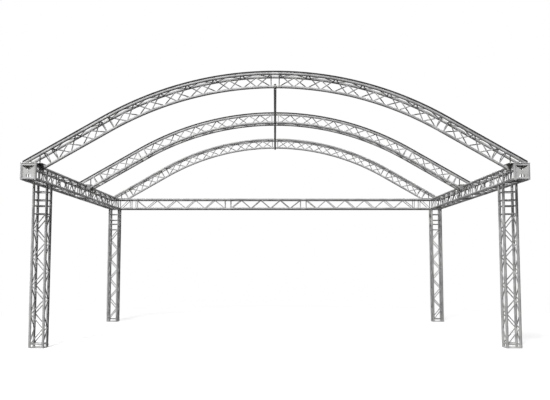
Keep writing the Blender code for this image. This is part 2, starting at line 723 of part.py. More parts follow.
def build_beams(aluminium):
    """Side beams, which point to the rear, and the rear beam, which points to the right."""
    rungs = (END_RUNG,)
    front = box_truss("side_truss_front", 0, SIDE_FRONT_LENGTH, rungs, rungs, 1)
    rear = box_truss("side_truss_rear", 0, SIDE_REAR_LENGTH, rungs, rungs, 1)
    seat = seat_mesh()
    backward = (-math.pi / 2, 0, 0)
    start = FRONT_LEG_Y + ARM
    for hand, x in (("left", -LEG_X), ("right", LEG_X)):
        place(f"side_truss_front_{hand}", front, aluminium, (x, start, BEAM_Z), backward)
        place(f"seat_truss_{hand}", seat, aluminium, (x, start + SIDE_FRONT_LENGTH, BEAM_Z), backward)
        far = start + SIDE_FRONT_LENGTH + SEAT_LENGTH
        place(f"side_truss_rear_{hand}", rear, aluminium, (x, far, BEAM_Z), backward)
    x = ARM - LEG_X
    modules = (("left", REAR_LEFT_LENGTH, -1), ("middle", REAR_MIDDLE_LENGTH, 1),
               ("right", REAR_RIGHT_LENGTH, -1))
    for part, length, first_side in modules:
        mesh = box_truss(f"rear_truss_{part}", 0, length, rungs, rungs, first_side)
        place(f"rear_truss_{part}", mesh, aluminium, (x, REAR_LEG_Y, BEAM_Z), (0, math.pi / 2, 0))
        x += length


def build_arches(aluminium):
    """Three arches, each of two curved, two straight and two foot modules, with a two-part cover rail."""
    rail = rail_mesh()
    rails = {"left": rail, "right": mirrored(rail, X_AXIS)}
    arches = (("front", FRONT_BOX_Y, APEX_DOWN, FOOT_TIP, -HALF), ("middle", 0, APEX_UP, FOOT_TIP, 0),
              ("rear", REAR_LEG_Y, APEX_DOWN, FOOT_TIP_REAR, HALF))
    for arch, y, section, tip, rail_y in arches:
        meshes = {"curve": arch_module(f"{arch}_arch_curve", section, 0, CURVE_END),
                  "straight": arch_module(f"{arch}_arch_straight", section, CURVE_END, STRAIGHT_END),
                  "foot": foot_mesh(f"{arch}_arch_foot", section, tip)}
        for part, mesh in meshes.items():
            place(f"{arch}_arch_{part}_left", mesh, aluminium, (0, y, 0))
            place(f"{arch}_arch_{part}_right", mirrored(mesh, X_AXIS), aluminium, (0, y, 0))
        for hand, mesh in rails.items():
            place(f"{arch}_rail_{hand}", mesh, aluminium, (0, y + rail_y, 0))


def build_ridge(aluminium, steel):
    """Two ridge struts between the arches, each with a hinged jaw and a swing bolt at both ends."""
    strut = strut_mesh()
    jaw = jaw_mesh()
    bolt = bolt_mesh()
    struts = (("front", FRONT_BOX_Y, -HALF), ("rear", HALF, REAR_LEG_Y))
    for part, front, rear in struts:
        place(f"ridge_strut_{part}", strut, aluminium, (0, (front + rear) / 2, RIDGE_Z))
        for end, y, side in (("front", front, 1), ("rear", rear, -1)):
            turn = (0, 0, 0 if side > 0 else math.pi)
            name = f"{part}_strut_{end}"
            place(f"clamp_jaw_{name}", jaw, aluminium, (0, y, RIDGE_Z - HINGE_DROP), turn)
            place(f"clamp_bolt_{name}", bolt, steel, (0, y + side * BOLT_BACK, RIDGE_Z + BOLT_RISE), turn)


def build():
    """Builds every piece and puts it in place."""
    clear_scene()
    aluminium = make_material("mill_aluminium", (0.60, 0.61, 0.62), 0.38, 1.0)
    steel = make_material("zinc_plated_steel", (0.50, 0.50, 0.49), 0.35, 1.0)
    build_legs(aluminium)
    build_beams(aluminium)
    build_arches(aluminium)
    build_ridge(aluminium, steel)


build()
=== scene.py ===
"""The look of an arched truss stage roof: round tubes, welds, pins, plates, clamps and their finishes.

Metres, +Z up, +Y to the rear. Every piece is built in place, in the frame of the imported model.
"""
import math

import bmesh
import bpy
from mathutils import Matrix, Vector

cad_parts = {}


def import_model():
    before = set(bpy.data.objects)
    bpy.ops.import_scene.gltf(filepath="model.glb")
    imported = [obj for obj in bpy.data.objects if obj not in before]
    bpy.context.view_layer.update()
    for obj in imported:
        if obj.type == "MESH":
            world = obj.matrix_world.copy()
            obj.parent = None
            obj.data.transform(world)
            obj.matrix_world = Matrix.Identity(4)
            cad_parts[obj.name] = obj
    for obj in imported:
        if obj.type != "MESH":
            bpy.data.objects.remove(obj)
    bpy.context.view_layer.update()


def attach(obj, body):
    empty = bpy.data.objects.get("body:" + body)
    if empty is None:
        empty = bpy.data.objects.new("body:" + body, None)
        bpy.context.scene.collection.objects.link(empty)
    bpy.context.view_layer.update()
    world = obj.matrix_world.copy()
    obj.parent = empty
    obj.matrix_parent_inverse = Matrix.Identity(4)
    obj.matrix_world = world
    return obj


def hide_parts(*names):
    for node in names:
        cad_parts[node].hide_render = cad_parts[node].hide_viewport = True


# Sizes shared with the solids
TUBE_R = 0.0255
BAR_R = 0.010
SPACING = 0.239
HALF = SPACING / 2
SHELL = HALF + TUBE_R
TRIANGLE_H = SPACING * math.sqrt(3) / 2
LACING_PITCH = 0.26
LACING_START = 0.021
END_RUNG = 0.075
SEAT_PITCH = 0.21
LEG_X = 4.25
FRONT_BOX_Y = -3.375
FRONT_LEG_Y = -2.705
REAR_LEG_Y = 3.375
BEAM_Z = 3.075
BEAM_TOP_Z = BEAM_Z + SHELL
ARM = 0.50
BOX_STUB = 0.17
BASE_T = 0.010
BASE_CHAMFER = 0.012
LEG_FOOT_RUNG = 0.061
LEG_HEAD_RUNGS = (0.030, 0.175)
CORNER_ARM_RUNGS = (0.075, 0.225)
SIDE_FRONT = 1.50
SEAT = 1.08
SIDE_REAR = 2.50
# Rear beam modules: name, length, and the side its lacing starts on
REAR_MODULES = (("left", 2.50, -1), ("middle", 2.00, 1), ("right", 3.00, -1))
ARCH_CROWN_Z = 4.80
ARCH_R = 5.95
ARCH_SWEEP = math.radians(30)
ARCH_STRAIGHT = 1.11
ARCH_PITCH = 0.24
ARCH_END_RUNG = 0.0725
CURVE_END = ARCH_R * ARCH_SWEEP
STRAIGHT_END = CURVE_END + ARCH_STRAIGHT
RIDGE_Z = ARCH_CROWN_Z - TRIANGLE_H
GAP = 0.0003
FOOT_PLATE_T = 0.010
FOOT_TIP = 0.085
FOOT_TIP_REAR = 0.235
FOOT_POST_INSET = 0.193
FOOT_BLOCK_T = 0.075
FOOT_BLOCK_W = 0.064
FOOT_BLOCK_DROP = 0.115
RAIL_W = 0.030
RAIL_H = 0.024
RAIL_END_INSET = 0.040
FACE_T = 0.006
FACE_SETBACK = 0.012
FACE_NOTCH_DEPTH = 0.065
FACE_WINDOW_W = 0.110
FACE_WINDOW_TOP_W = 0.070
FACE_WINDOW_H = 0.050
FACE_HOLE_D = 0.014
STRUT_R = 0.025
CLAMP_W = 0.040
CLAMP_R = 0.0345
CLAMP_WALL = 0.009
KNUCKLE_R = 0.0075
PIN_R = 0.004
PIN_GAP = 0.0004
LUG_GAP = 0.014
LUG_INSET = 0.001
BOLT_BACK = 0.025
BOLT_R = 0.005
PRONG_BACK = 0.006
PRONG_T = 0.007
PRONG_ROOTS = (0.029, 0.027)
PRONG_CHAMFER = 0.002
NUT_SLACK = 0.004
HEX_R = (TUBE_R + GAP + CLAMP_WALL) / math.cos(math.pi / 6)
HINGE_DROP = HEX_R + KNUCKLE_R + PIN_GAP
BOLT_RISE = HEX_R + BOLT_R + PIN_GAP

# Tubes of the look: a little thinner than the solids', so that nothing stands past them
ROUND_R = 0.0250
CROSS_R = 0.0245
TUBE_SIDES = 24
BAR_SIDES = 10
STRUT_SIDES = 32
ARC_STEPS = 26

# Welds: a fillet's size, how far a bar runs into its tube, and how far a lacing bar's end stays from its mark
WELD = 0.0035
WELD_SINK = 0.004
WELD_SPREAD = 0.018
BEAD_RISE = 0.0005
CROSS_BEAD_RISE = 0.0004
CROSS_BEAD = 0.005
CROSS_BEAD_SLOPE = 0.001
POST_SINK = 0.003
PLATE_BITE = 0.002
BLOCK_BITE = 0.012
BRACE_R = BAR_R * 0.8
BRACE_NEAR = HALF + 0.030
BRACE_FAR = ARM - END_RUNG - 0.030

# Receivers at the ends of modules, and their coupling pins
RECEIVER = 0.056
RECEIVER_RIM = 0.0012
PIN_INSET = 0.028
PIN_SIDES = 10
CLIP_R = 0.0009
CLIP_SIDES = 4

# How far edges are rounded
LUG_EDGE = 0.0007
PLATE_EDGE = 0.0012
CAST_EDGE = 0.012
FACE_EDGE = 0.0008
BASE_EDGE = 0.0010
PRONG_EDGE = 0.0006
WING_EDGE = 0.0010

# Clamps: ring ends in degrees from the strut's line, clearances, pins with heads, and the bolt's thread
RING_END = 87
RING_BORE_END = 86
RING_GAP = 0.0004
HINGE_RUN = 0.0003
JAW_PLAY = 0.0004
EYE_PLAY = 0.0006
BORE_REACH = 0.05
BORE_SIDES = 24
HOLE_SIDES = 32
PIN_REACH = CLAMP_W / 2 - LUG_INSET
HINGE_PIN_SIDES = 20
PIN_HEAD_R = PIN_R + 0.0015
PIN_HEAD_T = 0.002
PIN_HEAD_SIDES = 16
FORK_HALF = 0.0055
STRUT_SEAT = 0.006
SHANK_START = 0.0062
SHANK_R = 0.0047
SHANK_SIDES = 16
THREAD_START = 0.022
THREAD_PITCH = 0.0012
THREAD_DEPTH = 0.0006
THREAD_TURNS = 30
TIP_R = SHANK_R - 0.001
NUT_AT = BOLT_BACK + PRONG_BACK + PRONG_T + NUT_SLACK
NUT_SIDES = 24
WING_T = 0.0036

# Which edges show sharp, and which flat faces take no gradient from their rounded edges
SHARP_ANGLE = math.radians(42)
CORNER_ANGLE = math.radians(40)
FACE_CORNER_ANGLE = math.radians(50)
BROAD_AREA = 0.0003
BROAD_SHARE = 0.016

# Finishes: the grain keeps its real size, and the handling marks are drawn coarser than real ones, to show
SHINE = 0.04
MARKS_MM = 1000 / 7
MARKS_DETAIL = 6.0
MARKS_ROUGHNESS = 0.62
MARKS_RANGE = (0.32, 0.68)
GRAIN_DETAIL = 3.0
GLOSS_SWING = (-0.07, 0.09)
BUMP_DEPTH = 0.0004

# Studio: the floor's grey, its own light, what floor and world give to the object, and lamps as
# (name, place, size in metres, watts)
FLOOR_GREY = 0.82
FLOOR_LIFT = 0.45
FLOOR_BOUNCE = 0.02
FLOOR_SIZE = 60
FLOOR_DROP = 0.0005
FLOOR_FADE = (5.5, 10.0)
WORLD_LEVEL = 0.02
LAMP_TARGET = (0, 0, 2.5)
SOFTBOXES = (("key", (-8, -29, 32), 10, 17500), ("rear", (9, 20, 14), 8, 2500),
             ("left", (-15, -8, 6), 4, 800), ("right", (15, -8, 6), 4, 120))

# Camera, fitted to the legs, beams and arches
EYE = (0, -16.03, 1.484)
EYE_PITCH = math.radians(90 + 5.03)
LENS_MM = 47.96
SENSOR_MM = 36
CLIP_END = 200
SHIFT_X = -0.0002

X_AXIS = Vector((1, 0, 0))
Y_AXIS = Vector((0, 1, 0))
Z_AXIS = Vector((0, 0, 1))

# Places of the finishes on a piece that has several
TUBE, RECEIVER_SLOT, WELD_SLOT, PLATE_SLOT, CAST_SLOT, STEEL_SLOT, STRUT_PAINTED_SHADE_SLOT, PAINTED_SHADE_SLOT = range(8)

# A receiver from a module's end inward, as (distance, how far it stands past the tube, finish)
RECEIVER_PROFILE = ((0, -RECEIVER_RIM, RECEIVER_SLOT), (RECEIVER_RIM, 0, RECEIVER_SLOT),
                    (RECEIVER, 0, RECEIVER_SLOT), (RECEIVER + 0.002, BEAD_RISE, WELD_SLOT),
                    (RECEIVER + 0.006, BEAD_RISE, WELD_SLOT), (RECEIVER + 0.008, 0, WELD_SLOT))

# A coupling pin as (distance along it, radius), and the wire clip at its tail as points
PIN_PROFILE = ((-0.0292, 0.0030), (-0.0290, 0.0058), (-0.0255, 0.0062), (-0.0235, 0.0050), (0.0240, 0.0050),
               (0.0290, 0.0036))
CLIP_PATH = ((-0.0062, 0, 0.0272), (0.0080, 0, 0.0272), (0.0125, 0.0030, 0.0272), (0.0090, 0.0060, 0.0272),
             (-0.0040, 0.0050, 0.0272))

# The left side of the cover rail's section, as (across, up), with its groove
RAIL_TOP = TUBE_R + RAIL_H
RAIL_SIDE = ((-0.0138, RAIL_TOP), (-RAIL_W / 2, RAIL_TOP - 0.0012), (-RAIL_W / 2, 0.0395), (-0.0128, 0.0395),
             (-0.0128, 0.0422), (-0.0064, 0.0422), (-0.0064, 0.0338), (-0.0128, 0.0338), (-0.0128, 0.0365),
             (-RAIL_W / 2, 0.0365))
RAIL_SEAT_R = 0.0260
RAIL_SEAT = [(y, math.sqrt(RAIL_SEAT_R ** 2 - y ** 2))
             for y in (-0.015, -0.011, -0.007, -0.003, 0.003, 0.007, 0.011, 0.015)]

# The wing nut: its body as (distance along the bolt, radius), and a wing as (across, along)
NUT_PROFILE = ((0, 0.0083), (0.0015, 0.0085), (0.0022, 0.0085), (0.0026, 0.0070), (0.009, 0.0062),
               (0.010, 0.0054))
WING = ((0.004, 0.0030), (0.010, 0.0028), (0.0165, 0.0012), (0.0192, 0.0030), (0.0198, 0.0055),
        (0.0180, 0.0085), (0.0140, 0.0094), (0.0090, 0.0084), (0.004, 0.0088))

# The weld between a strut and its clamp, as (distance from the clamp's outside, height past the strut)
COLLAR_PROFILE = ((-STRUT_SEAT, 0.002), (-0.001, 0.002), (0.003, 0.0002), (0.004, 0))


def linear(colour):
    """An sRGB hex colour as linear values."""
    values = [int(colour[start:start + 2], 16) / 255 for start in (1, 3, 5)]
    return tuple(v / 12.92 if v <= 0.04045 else ((v + 0.055) / 1.055) ** 2.4 for v in values) + (1,)


# Round pieces: each ring is a frame, a radius, and how far each point is moved along the frame's own axis

def ring_frame(point, heading, facing):
    """A frame at point whose Z is heading and whose X looks toward facing."""
    side = (facing - facing.project(heading)).normalized()
    frame = Matrix((side, heading.cross(side), heading)).transposed().to_4x4()
    frame.translation = point
    return frame


def shift_none(direction):
    """No shift along the axis."""
    return 0.0


def plain_rings(line, heading, facing, stations):
    """Rings square to a line, from stations of (distance, radius, slot)."""
    return [(ring_frame(line(at), heading(at), facing), radius, shift_none, slot)
            for at, radius, slot in stations]


def extended(bm, cap, slot):
    """Draws a cap out into a new one, with walls of one finish behind it."""
    grown = bmesh.ops.extrude_face_region(bm, geom=[cap, *cap.edges])["geom"]
    cap = next(item for item in grown if isinstance(item, bmesh.types.BMFace))
    for edge in cap.edges:
        for face in edge.link_faces:
            if face is not cap:
                face.material_index = slot
    return cap


def disc(bm, frame, radius, sides, slot):
    """The first cap of a round piece."""
    verts = bmesh.ops.create_circle(bm, cap_ends=True, segments=sides, radius=radius, matrix=frame)["verts"]
    cap = verts[0].link_faces[0]
    cap.material_index = slot
    return cap


def turned(bm, rings, sides):
    """A closed round piece through rings of (frame, radius, shift, slot)."""
    before, radius, shift, slot = rings[0]
    cap = disc(bm, before, radius, sides, slot)
    for index, (frame, radius, shift, slot) in enumerate(rings):
        if index:
            cap = extended(bm, cap, slot)
        inverse = before.inverted()
        for vert in cap.verts:
            local = inverse @ vert.co
            local.z = 0
            local.normalize()
            vert.co = frame @ (local * radius + Z_AXIS * shift(local))
        before = frame


def loft(bm, rings, slot=0):
    """A closed piece through rings of matching points."""
    verts = [bm.verts.new(point) for point in rings[0]]
    cap = bm.faces.new(verts)
    cap.material_index = slot
    for ring in rings[1:]:
        cap = extended(bm, cap, slot)
        verts = [min(cap.verts, key=lambda new: (new.co - old.co).length_squared) for old in verts]
        for vert, point in zip(verts, ring):
            vert.co = point


def slide(verts, point, heading, normal):
    """Moves points along heading onto the plane through point."""
    for vert in verts:
        vert.co += heading * ((point - vert.co).dot(normal) / heading.dot(normal))


def pipe(bm, path, radius, sides, facing, slot=0):
    """A round pipe along straight lines, mitred where they meet."""
    points = [Vector(point) for point in path]
    headings = [(after - before).normalized() for before, after in zip(points, points[1:])]
    normals = [before + after for before, after in zip(headings, headings[1:])] + [headings[-1]]
    cap = disc(bm, ring_frame(points[0], headings[0], facing), radius, sides, slot)
    for point, heading, normal in zip(points[1:], headings, normals):
        cap = extended(bm, cap, slot)
        slide(cap.verts, point, heading, normal)


def rounded(bm, edges, width):
    """Rounds the given edges."""
    bmesh.ops.bevel(bm, geom=edges, offset=width, offset_type='OFFSET', segments=2, profile=0.5,
                    affect='EDGES', material=-1)


def slab(bm, outline, travel, edge=0.0, slot=0):
    """A flat outline given thickness; edge is how far its edges are rounded."""
    low = [bm.verts.new(point) for point in outline]
    face = bm.faces.new(low)
    grown = bmesh.ops.extrude_face_region(bm, geom=[face, *face.edges])["geom"]
    high = [item for item in grown if isinstance(item, bmesh.types.BMVert)]
    bmesh.ops.translate(bm, verts=high, vec=travel)
    made = list(dict.fromkeys(item for vert in low + high for item in vert.link_faces))
    for item in made:
        item.material_index = slot
    if edge:
        bmesh.ops.recalc_face_normals(bm, faces=made)
        edges = dict.fromkeys(item for made_face in made for item in made_face.edges)
        rounded(bm, [item for item in edges if item.calc_face_angle(0) > CORNER_ANGLE], edge)


def block(bm, low, high, edge=0.0, slot=0):
    """A rectangular block between two corners, with rounded edges."""
    x0, y0, z0 = low
    x1, y1, z1 = high
    outline = [(x0, y0, z0), (x1, y0, z0), (x1, y1, z0), (x0, y1, z0)]
    slab(bm, [Vector(point) for point in outline], Vector((0, 0, z1 - z0)), edge, slot)


def carved(bm, cutters):
    """Cuts the closed shapes of cutters out of bm."""
    solid = bpy.data.objects.new("solid", finish_mesh(bm, "solid"))
    tool = bpy.data.objects.new("tool", finish_mesh(cutters, "tool"))
    for item in (solid, tool):
        bpy.context.scene.collection.objects.link(item)
    modifier = solid.modifiers.new("cut", 'BOOLEAN')
    modifier.operation = 'DIFFERENCE'
    modifier.solver = 'EXACT'
    modifier.use_self = True
    modifier.object = tool
    mesh = bpy.data.meshes.new_from_object(solid.evaluated_get(bpy.context.evaluated_depsgraph_get()))
    for item in (solid, tool):
        bpy.data.objects.remove(item)
    result = bmesh.new()
    result.from_mesh(mesh)
    return result


def arc(centre, radius, start, end, count):
    """Points on an arc in a plane, angles in degrees."""
    angles = [math.radians(start + (end - start) * index / count) for index in range(count + 1)]
    return [(centre[0] + radius * math.cos(a), centre[1] + radius * math.sin(a)) for a in angles]


def exit_distance(start, heading, host):
    """How far along heading a line that starts near the host tube's axis comes out of its surface."""
    point, along = host
    pace = heading - heading.project(along)
    offset = start - point
    offset = offset - offset.project(along)
    lean = pace.dot(offset)
    root = lean * lean - pace.length_squared * (offset.length_squared - ROUND_R ** 2)
    return (-lean + math.sqrt(max(root, 0))) / pace.length_squared


def welded_bar(bm, frame, radius, near, far, sink=WELD_SINK, slot=TUBE):
    """A round bar with a fillet at each end; near and far tell where its surface meets its hosts."""
    wide = radius + WELD
    rings = [(frame, radius, lambda d: near(d * radius) - WELD_SINK, WELD_SLOT),
             (frame, wide, lambda d: near(d * wide), WELD_SLOT),
             (frame, radius, lambda d: near(d * radius) + WELD, WELD_SLOT),
             (frame, radius, lambda d: far(d * radius) - WELD, slot),
             (frame, wide, lambda d: far(d * wide), WELD_SLOT),
             (frame, radius, lambda d: far(d * radius) + sink, WELD_SLOT)]
    turned(bm, rings, BAR_SIDES)


def bar(bm, start, end, radius, hosts):
    """A round bar welded between two tubes; hosts are the two tubes' centre lines."""
    heading = (end - start).normalized()
    length = (end - start).length
    frame = ring_frame(start, heading, X_AXIS if abs(heading.x) < 0.8 else Y_AXIS)
    axes = frame.to_3x3()
    welded_bar(bm, frame, radius, lambda shift: exit_distance(start + axes @ shift, heading, hosts[0]),
               lambda shift: length - exit_distance(end + axes @ shift, -heading, hosts[1]))


def straight(start, heading):
    """A straight line, as a function of distance."""
    return lambda distance: start + heading * distance


def steady(heading):
    """A direction that is the same all along."""
    return lambda distance: heading


def pin(bm, centre, through, along):
    """A coupling pin through a tube: a domed head, a tapered tail, and a wire clip."""
    frame = ring_frame(centre, through, along)
    rings = [(frame @ Matrix.Translation((0, 0, at)), radius, shift_none, STEEL_SLOT)
             for at, radius in PIN_PROFILE]
    turned(bm, rings, PIN_SIDES)
    pipe(bm, [frame @ Vector(point) for point in CLIP_PATH], CLIP_R, CLIP_SIDES, through, STEEL_SLOT)


def near_receiver(low):
    """Stations of the receiver where a tube starts."""
    return [(low + at, ROUND_R + rise, slot) for at, rise, slot in RECEIVER_PROFILE]


def far_receiver(high):
    """Stations of the receiver where a tube ends, which has the finishes in the other order."""
    return [(high - at, ROUND_R + rise, slot)
            for (at, rise, _), (_, _, slot) in zip(RECEIVER_PROFILE[-2::-1], RECEIVER_PROFILE[:0:-1])]


def chord(bm, line, heading, low, high, facing, pinned, steps=1, high_end=True):
    """A round tube along a line, with a welded-in, pinned receiver at each end that meets another module."""
    for at in (low + PIN_INSET, high - PIN_INSET)[:1 + high_end]:
        pin(bm, line(at), pinned(at), heading(at))
    stations = near_receiver(low)
    first = stations[-1][0]
    last = high - RECEIVER_PROFILE[-1][0] if high_end else high
    stations += [(first + (last - first) * step / steps, ROUND_R, TUBE) for step in range(1, steps + 1)]
    if high_end:
        stations += far_receiver(high)
    turned(bm, plain_rings(line, heading, facing, stations), TUBE_SIDES)


def spaced(start, end, pitch):
    """Marks from start to end, as near to the pitch as whole panels allow."""
    count = max(1, round((end - start) / pitch))
    return [start + (end - start) * index / count for index in range(count + 1)]


def lacing(bm, first, second, heading, marks):
    """Separate diagonal bars between two tubes, with their ends side by side on the tubes."""
    for index, (low, high) in enumerate(zip(marks, marks[1:])):
        near, far = (second, first) if index % 2 else (first, second)
        at = low if index == 0 else low + WELD_SPREAD
        to = high if index == len(marks) - 2 else high - WELD_SPREAD
        start = near(at) + (far(at) - near(at)).normalized() * ROUND_R
        end = far(to) + (near(to) - far(to)).normalized() * ROUND_R
        bar(bm, start, end, BAR_R, ((near(at), heading(at)), (far(to), heading(to))))


def rung(bm, start, end, along):
    """A straight cross bar between two tubes that both run along a direction."""
    bar(bm, start, end, BAR_R, ((start, along), (end, along)))


def corner(index):
    """Plan position of one of a box truss's four tubes."""
    return ((-HALF, HALF, HALF, -HALF)[index % 4], (-HALF, -HALF, HALF, HALF)[index % 4])


def box_line(index):
    """The centre line of one tube of a box truss along +Z."""
    return straight(Vector((*corner(index), 0)), Z_AXIS)


def upward(height):
    """The heading of every tube of a box truss along +Z."""
    return Z_AXIS


def corner_pinned(index):
    """The direction of a box truss tube's pins: from the box's middle line out through the tube."""
    return steady(Vector((*corner(index), 0)).normalized())


def box_rungs(bm, height):
    """A square of four cross bars."""
    for index in range(4):
        rung(bm, box_line(index)(height), box_line(index + 1)(height), Z_AXIS)


def box_truss(low, high, low_rungs, high_rungs, first_side):
    """A straight box truss along +Z."""
    bm = bmesh.new()
    for index in range(4):
        chord(bm, box_line(index), upward, low + GAP / 2, high - GAP / 2, X_AXIS, corner_pinned(index))
    for inset in low_rungs:
        box_rungs(bm, low + inset)
    for inset in high_rungs:
        box_rungs(bm, high - inset)
    marks = spaced(low + max(low_rungs) + LACING_START, high - max(high_rungs) - LACING_START, LACING_PITCH)
    for first, second in ((0, 1), (3, 2), (1, 2), (0, 3)):
        lines = (box_line(first), box_line(second))
        if first_side > 0:
            lines = lines[::-1]
        lacing(bm, *lines, upward, marks)
    return bm


def seat_truss():
    """The short beam module that an arch stands on."""
    bm = bmesh.new()
    for index in range(4):
        chord(bm, box_line(index), upward, GAP / 2, SEAT - GAP / 2, X_AXIS, corner_pinned(index))
    arch_mark = -FRONT_LEG_Y - ARM - SIDE_FRONT
    for height in (END_RUNG, arch_mark - HALF, arch_mark + HALF, SEAT - END_RUNG):
        box_rungs(bm, height)
    marks = spaced(END_RUNG + LACING_START, arch_mark - HALF - LACING_START, SEAT_PITCH)
    for index in (1, 3):
        lacing(bm, box_line(index), box_line(index + 1), upward, marks)
    return bm


# Arches

def arch_point(distance, level, y):
    """A point on the left side of an arch."""
    bend = min(distance / ARCH_R, ARCH_SWEEP)
    beyond = max(distance - CURVE_END, 0)
    radius = ARCH_R + level
    x = -radius * math.sin(bend) - beyond * math.cos(bend)
    z = ARCH_CROWN_Z - ARCH_R + radius * math.cos(bend) - beyond * math.sin(bend)
    return Vector((x, y, z))


def arch_line(level, y):
    """One tube's centre line."""
    return lambda distance: arch_point(distance, level, y)


def arch_heading(distance):
    """The direction down the left side of the arch."""
    bend = min(distance / ARCH_R, ARCH_SWEEP)
    return Vector((-math.cos(bend), 0, -math.sin(bend)))


APEX_DOWN = ((0, -HALF), (0, HALF), (-TRIANGLE_H, 0))
APEX_UP = ((-TRIANGLE_H, -HALF), (-TRIANGLE_H, HALF), (0, 0))


def triangle_faces(lines):
    """The three laced faces, as pairs of lines."""
    front, rear, apex = lines
    if front(0).z > apex(0).z:
        return (front, apex), (apex, rear), (rear, front)
    return (apex, front), (rear, apex), (rear, front)


def arch_pinned(y):
    """The direction of an arch tube's pins: level in the middle tube, slanting down and out in the pairs."""
    if y == 0:
        return steady(Y_AXIS)
    aside = Y_AXIS * math.copysign(1, y)
    return lambda distance: (arch_point(distance, -1, y) - arch_point(distance, 0, y) + aside).normalized()


def arch_module(section, low, high, steps):
    """A triangular truss between two joint planes of the arch."""
    bm = bmesh.new()
    lines = [arch_line(level, y) for level, y in section]
    for (level, y), line in zip(section, lines):
        pinned = arch_pinned(y)
        chord(bm, line, arch_heading, low + GAP / 2, high - GAP / 2, Y_AXIS, pinned, steps)
    inset = ARCH_END_RUNG + LACING_START
    marks = spaced(low + inset, high - inset, ARCH_PITCH)
    for first, second in triangle_faces(lines):
        for mark in (low + ARCH_END_RUNG, high - ARCH_END_RUNG):
            rung(bm, first(mark), second(mark), arch_heading(mark))
        lacing(bm, first, second, arch_heading, marks)
    return bm


# Arch feet and rails

def distance_at(level, x=None, z=None):
    """The distance at which a straight part's line of this level reaches a given x or z."""
    start = arch_point(CURVE_END, level, 0)
    if x is not None:
        return CURVE_END + (start.x - x) / math.cos(ARCH_SWEEP)
    return CURVE_END + (start.z - z) / math.sin(ARCH_SWEEP)


def post(bm, head, foot_z, host):
    """An upright bar from a tube down to a plate."""
    frame = ring_frame(head, -Z_AXIS, X_AXIS)
    axes = frame.to_3x3()
    drop = head.z - foot_z
    # The post is drawn in the dark grey, as painted shade on a thin upright bar.
    welded_bar(bm, frame, BAR_R, lambda shift: exit_distance(head + axes @ shift, -Z_AXIS, host),
               lambda shift: drop, POST_SINK, PAINTED_SHADE_SLOT)


def foot_tube(bm, line, seam, end, normal):
    """An arch foot's tube: a receiver at its joint, a bead from its seam on, and a cut through end."""
    start = STRAIGHT_END + GAP / 2
    heading = arch_heading(start)
    home = ring_frame(line(start), heading, Y_AXIS)
    axes = home.to_3x3()

    def cut(point, radius):
        return lambda d: (point - home.translation - axes @ d * radius).dot(normal) / heading.dot(normal)

    bead_r = ROUND_R + BEAD_RISE
    rings = plain_rings(line, arch_heading, Y_AXIS, near_receiver(start))
    rings += [(home, ROUND_R, cut(seam, ROUND_R), TUBE), (home, bead_r, cut(end, bead_r), WELD_SLOT)]
    turned(bm, rings, TUBE_SIDES)


def arch_foot(section, tip):
    """Tubes cut level on a plate, a post, a tie, and blocks for the tubes that pass inside the beam."""
    bm = bmesh.new()
    plate_low = BEAM_TOP_Z + GAP
    plate_high = plate_low + FOOT_PLATE_T
    beam_x = SHELL + GAP - LEG_X
    block(bm, (-LEG_X - SHELL, -SHELL, plate_low), (beam_x + tip, SHELL, plate_high), PLATE_EDGE, PLATE_SLOT)
    lines = [arch_line(level, y) for level, y in section]
    for (level, y), line in zip(section, lines):
        if line(distance_at(level, z=plate_high)).x < beam_x + tip:
            end = line(distance_at(level, z=plate_high - PLATE_BITE))
            foot_tube(bm, line, line(distance_at(level, z=plate_high + WELD)), end, -Z_AXIS)
        else:
            face_x = beam_x + FOOT_BLOCK_T
            low = (beam_x, y - FOOT_BLOCK_W / 2, plate_low - FOOT_BLOCK_DROP)
            block(bm, low, (face_x, y + FOOT_BLOCK_W / 2, plate_low), CAST_EDGE, CAST_SLOT)
            end = line(distance_at(level, x=face_x - BLOCK_BITE))
            foot_tube(bm, line, line(distance_at(level, x=face_x + WELD)), end, -X_AXIS)
        if level == 0 and y <= 0:
            head = line(distance_at(level, x=FOOT_POST_INSET - LEG_X))
            post(bm, head, plate_high, (head, arch_heading(STRAIGHT_END)))
    if section[1][0] == 0:
        ends = [line(distance_at(0, x=-LEG_X)) for line in lines[:2]]
        rung(bm, *ends, arch_heading(STRAIGHT_END))
    mark = STRAIGHT_END + ARCH_END_RUNG
    for first, second in triangle_faces(lines):
        rung(bm, first(mark), second(mark), arch_heading(mark))
    return bm


def rail():
    """The left half of a cover rail: an extrusion with a groove for sheet edging down each side."""
    outline = [*RAIL_SIDE, *RAIL_SEAT, *((-y, level) for y, level in RAIL_SIDE[::-1])]
    end_x = RAIL_END_INSET - LEG_X - SHELL
    stations = [GAP / 2 + (CURVE_END - GAP / 2) * index / ARC_STEPS for index in range(ARC_STEPS + 1)]
    rings = [[arch_point(at, level, y) for y, level in outline] for at in stations]
    rings.append([arch_point(distance_at(level, x=end_x), level, y) for y, level in outline])
    bm = bmesh.new()
    loft(bm, rings)
    return bm


# Corner blocks and end boxes

def corner_arm(bm, heading, insets):
    """Squares of cross bars on one arm of a corner block."""
    turn = Z_AXIS.rotation_difference(heading).to_matrix()
    for inset in insets:
        for index in range(4):
            ends = [turn @ box_line(place)(ARM - inset) for place in (index, index + 1)]
            rung(bm, *ends, heading)


def corner_legs(bm):
    """The four uprights of the lower arm, and the posts above them."""
    for index in range(4):
        x, y = corner(index)
        chord(bm, box_line(index), upward, GAP / 2 - ARM, -HALF, X_AXIS, corner_pinned(index), high_end=False)
        rung(bm, Vector((x, y, -HALF)), Vector((x, y, HALF)), Y_AXIS)
    corner_arm(bm, -Z_AXIS, CORNER_ARM_RUNGS)


def brace(bm, start, end, along):
    """A slanting bar between two parallel tubes, from centre line to centre line."""
    across_gap = end - start - (end - start).project(along)
    trim = (end - start) * (ROUND_R / across_gap.length)
    bar(bm, start + trim, end - trim, BRACE_R, ((start, along), (end, along)))


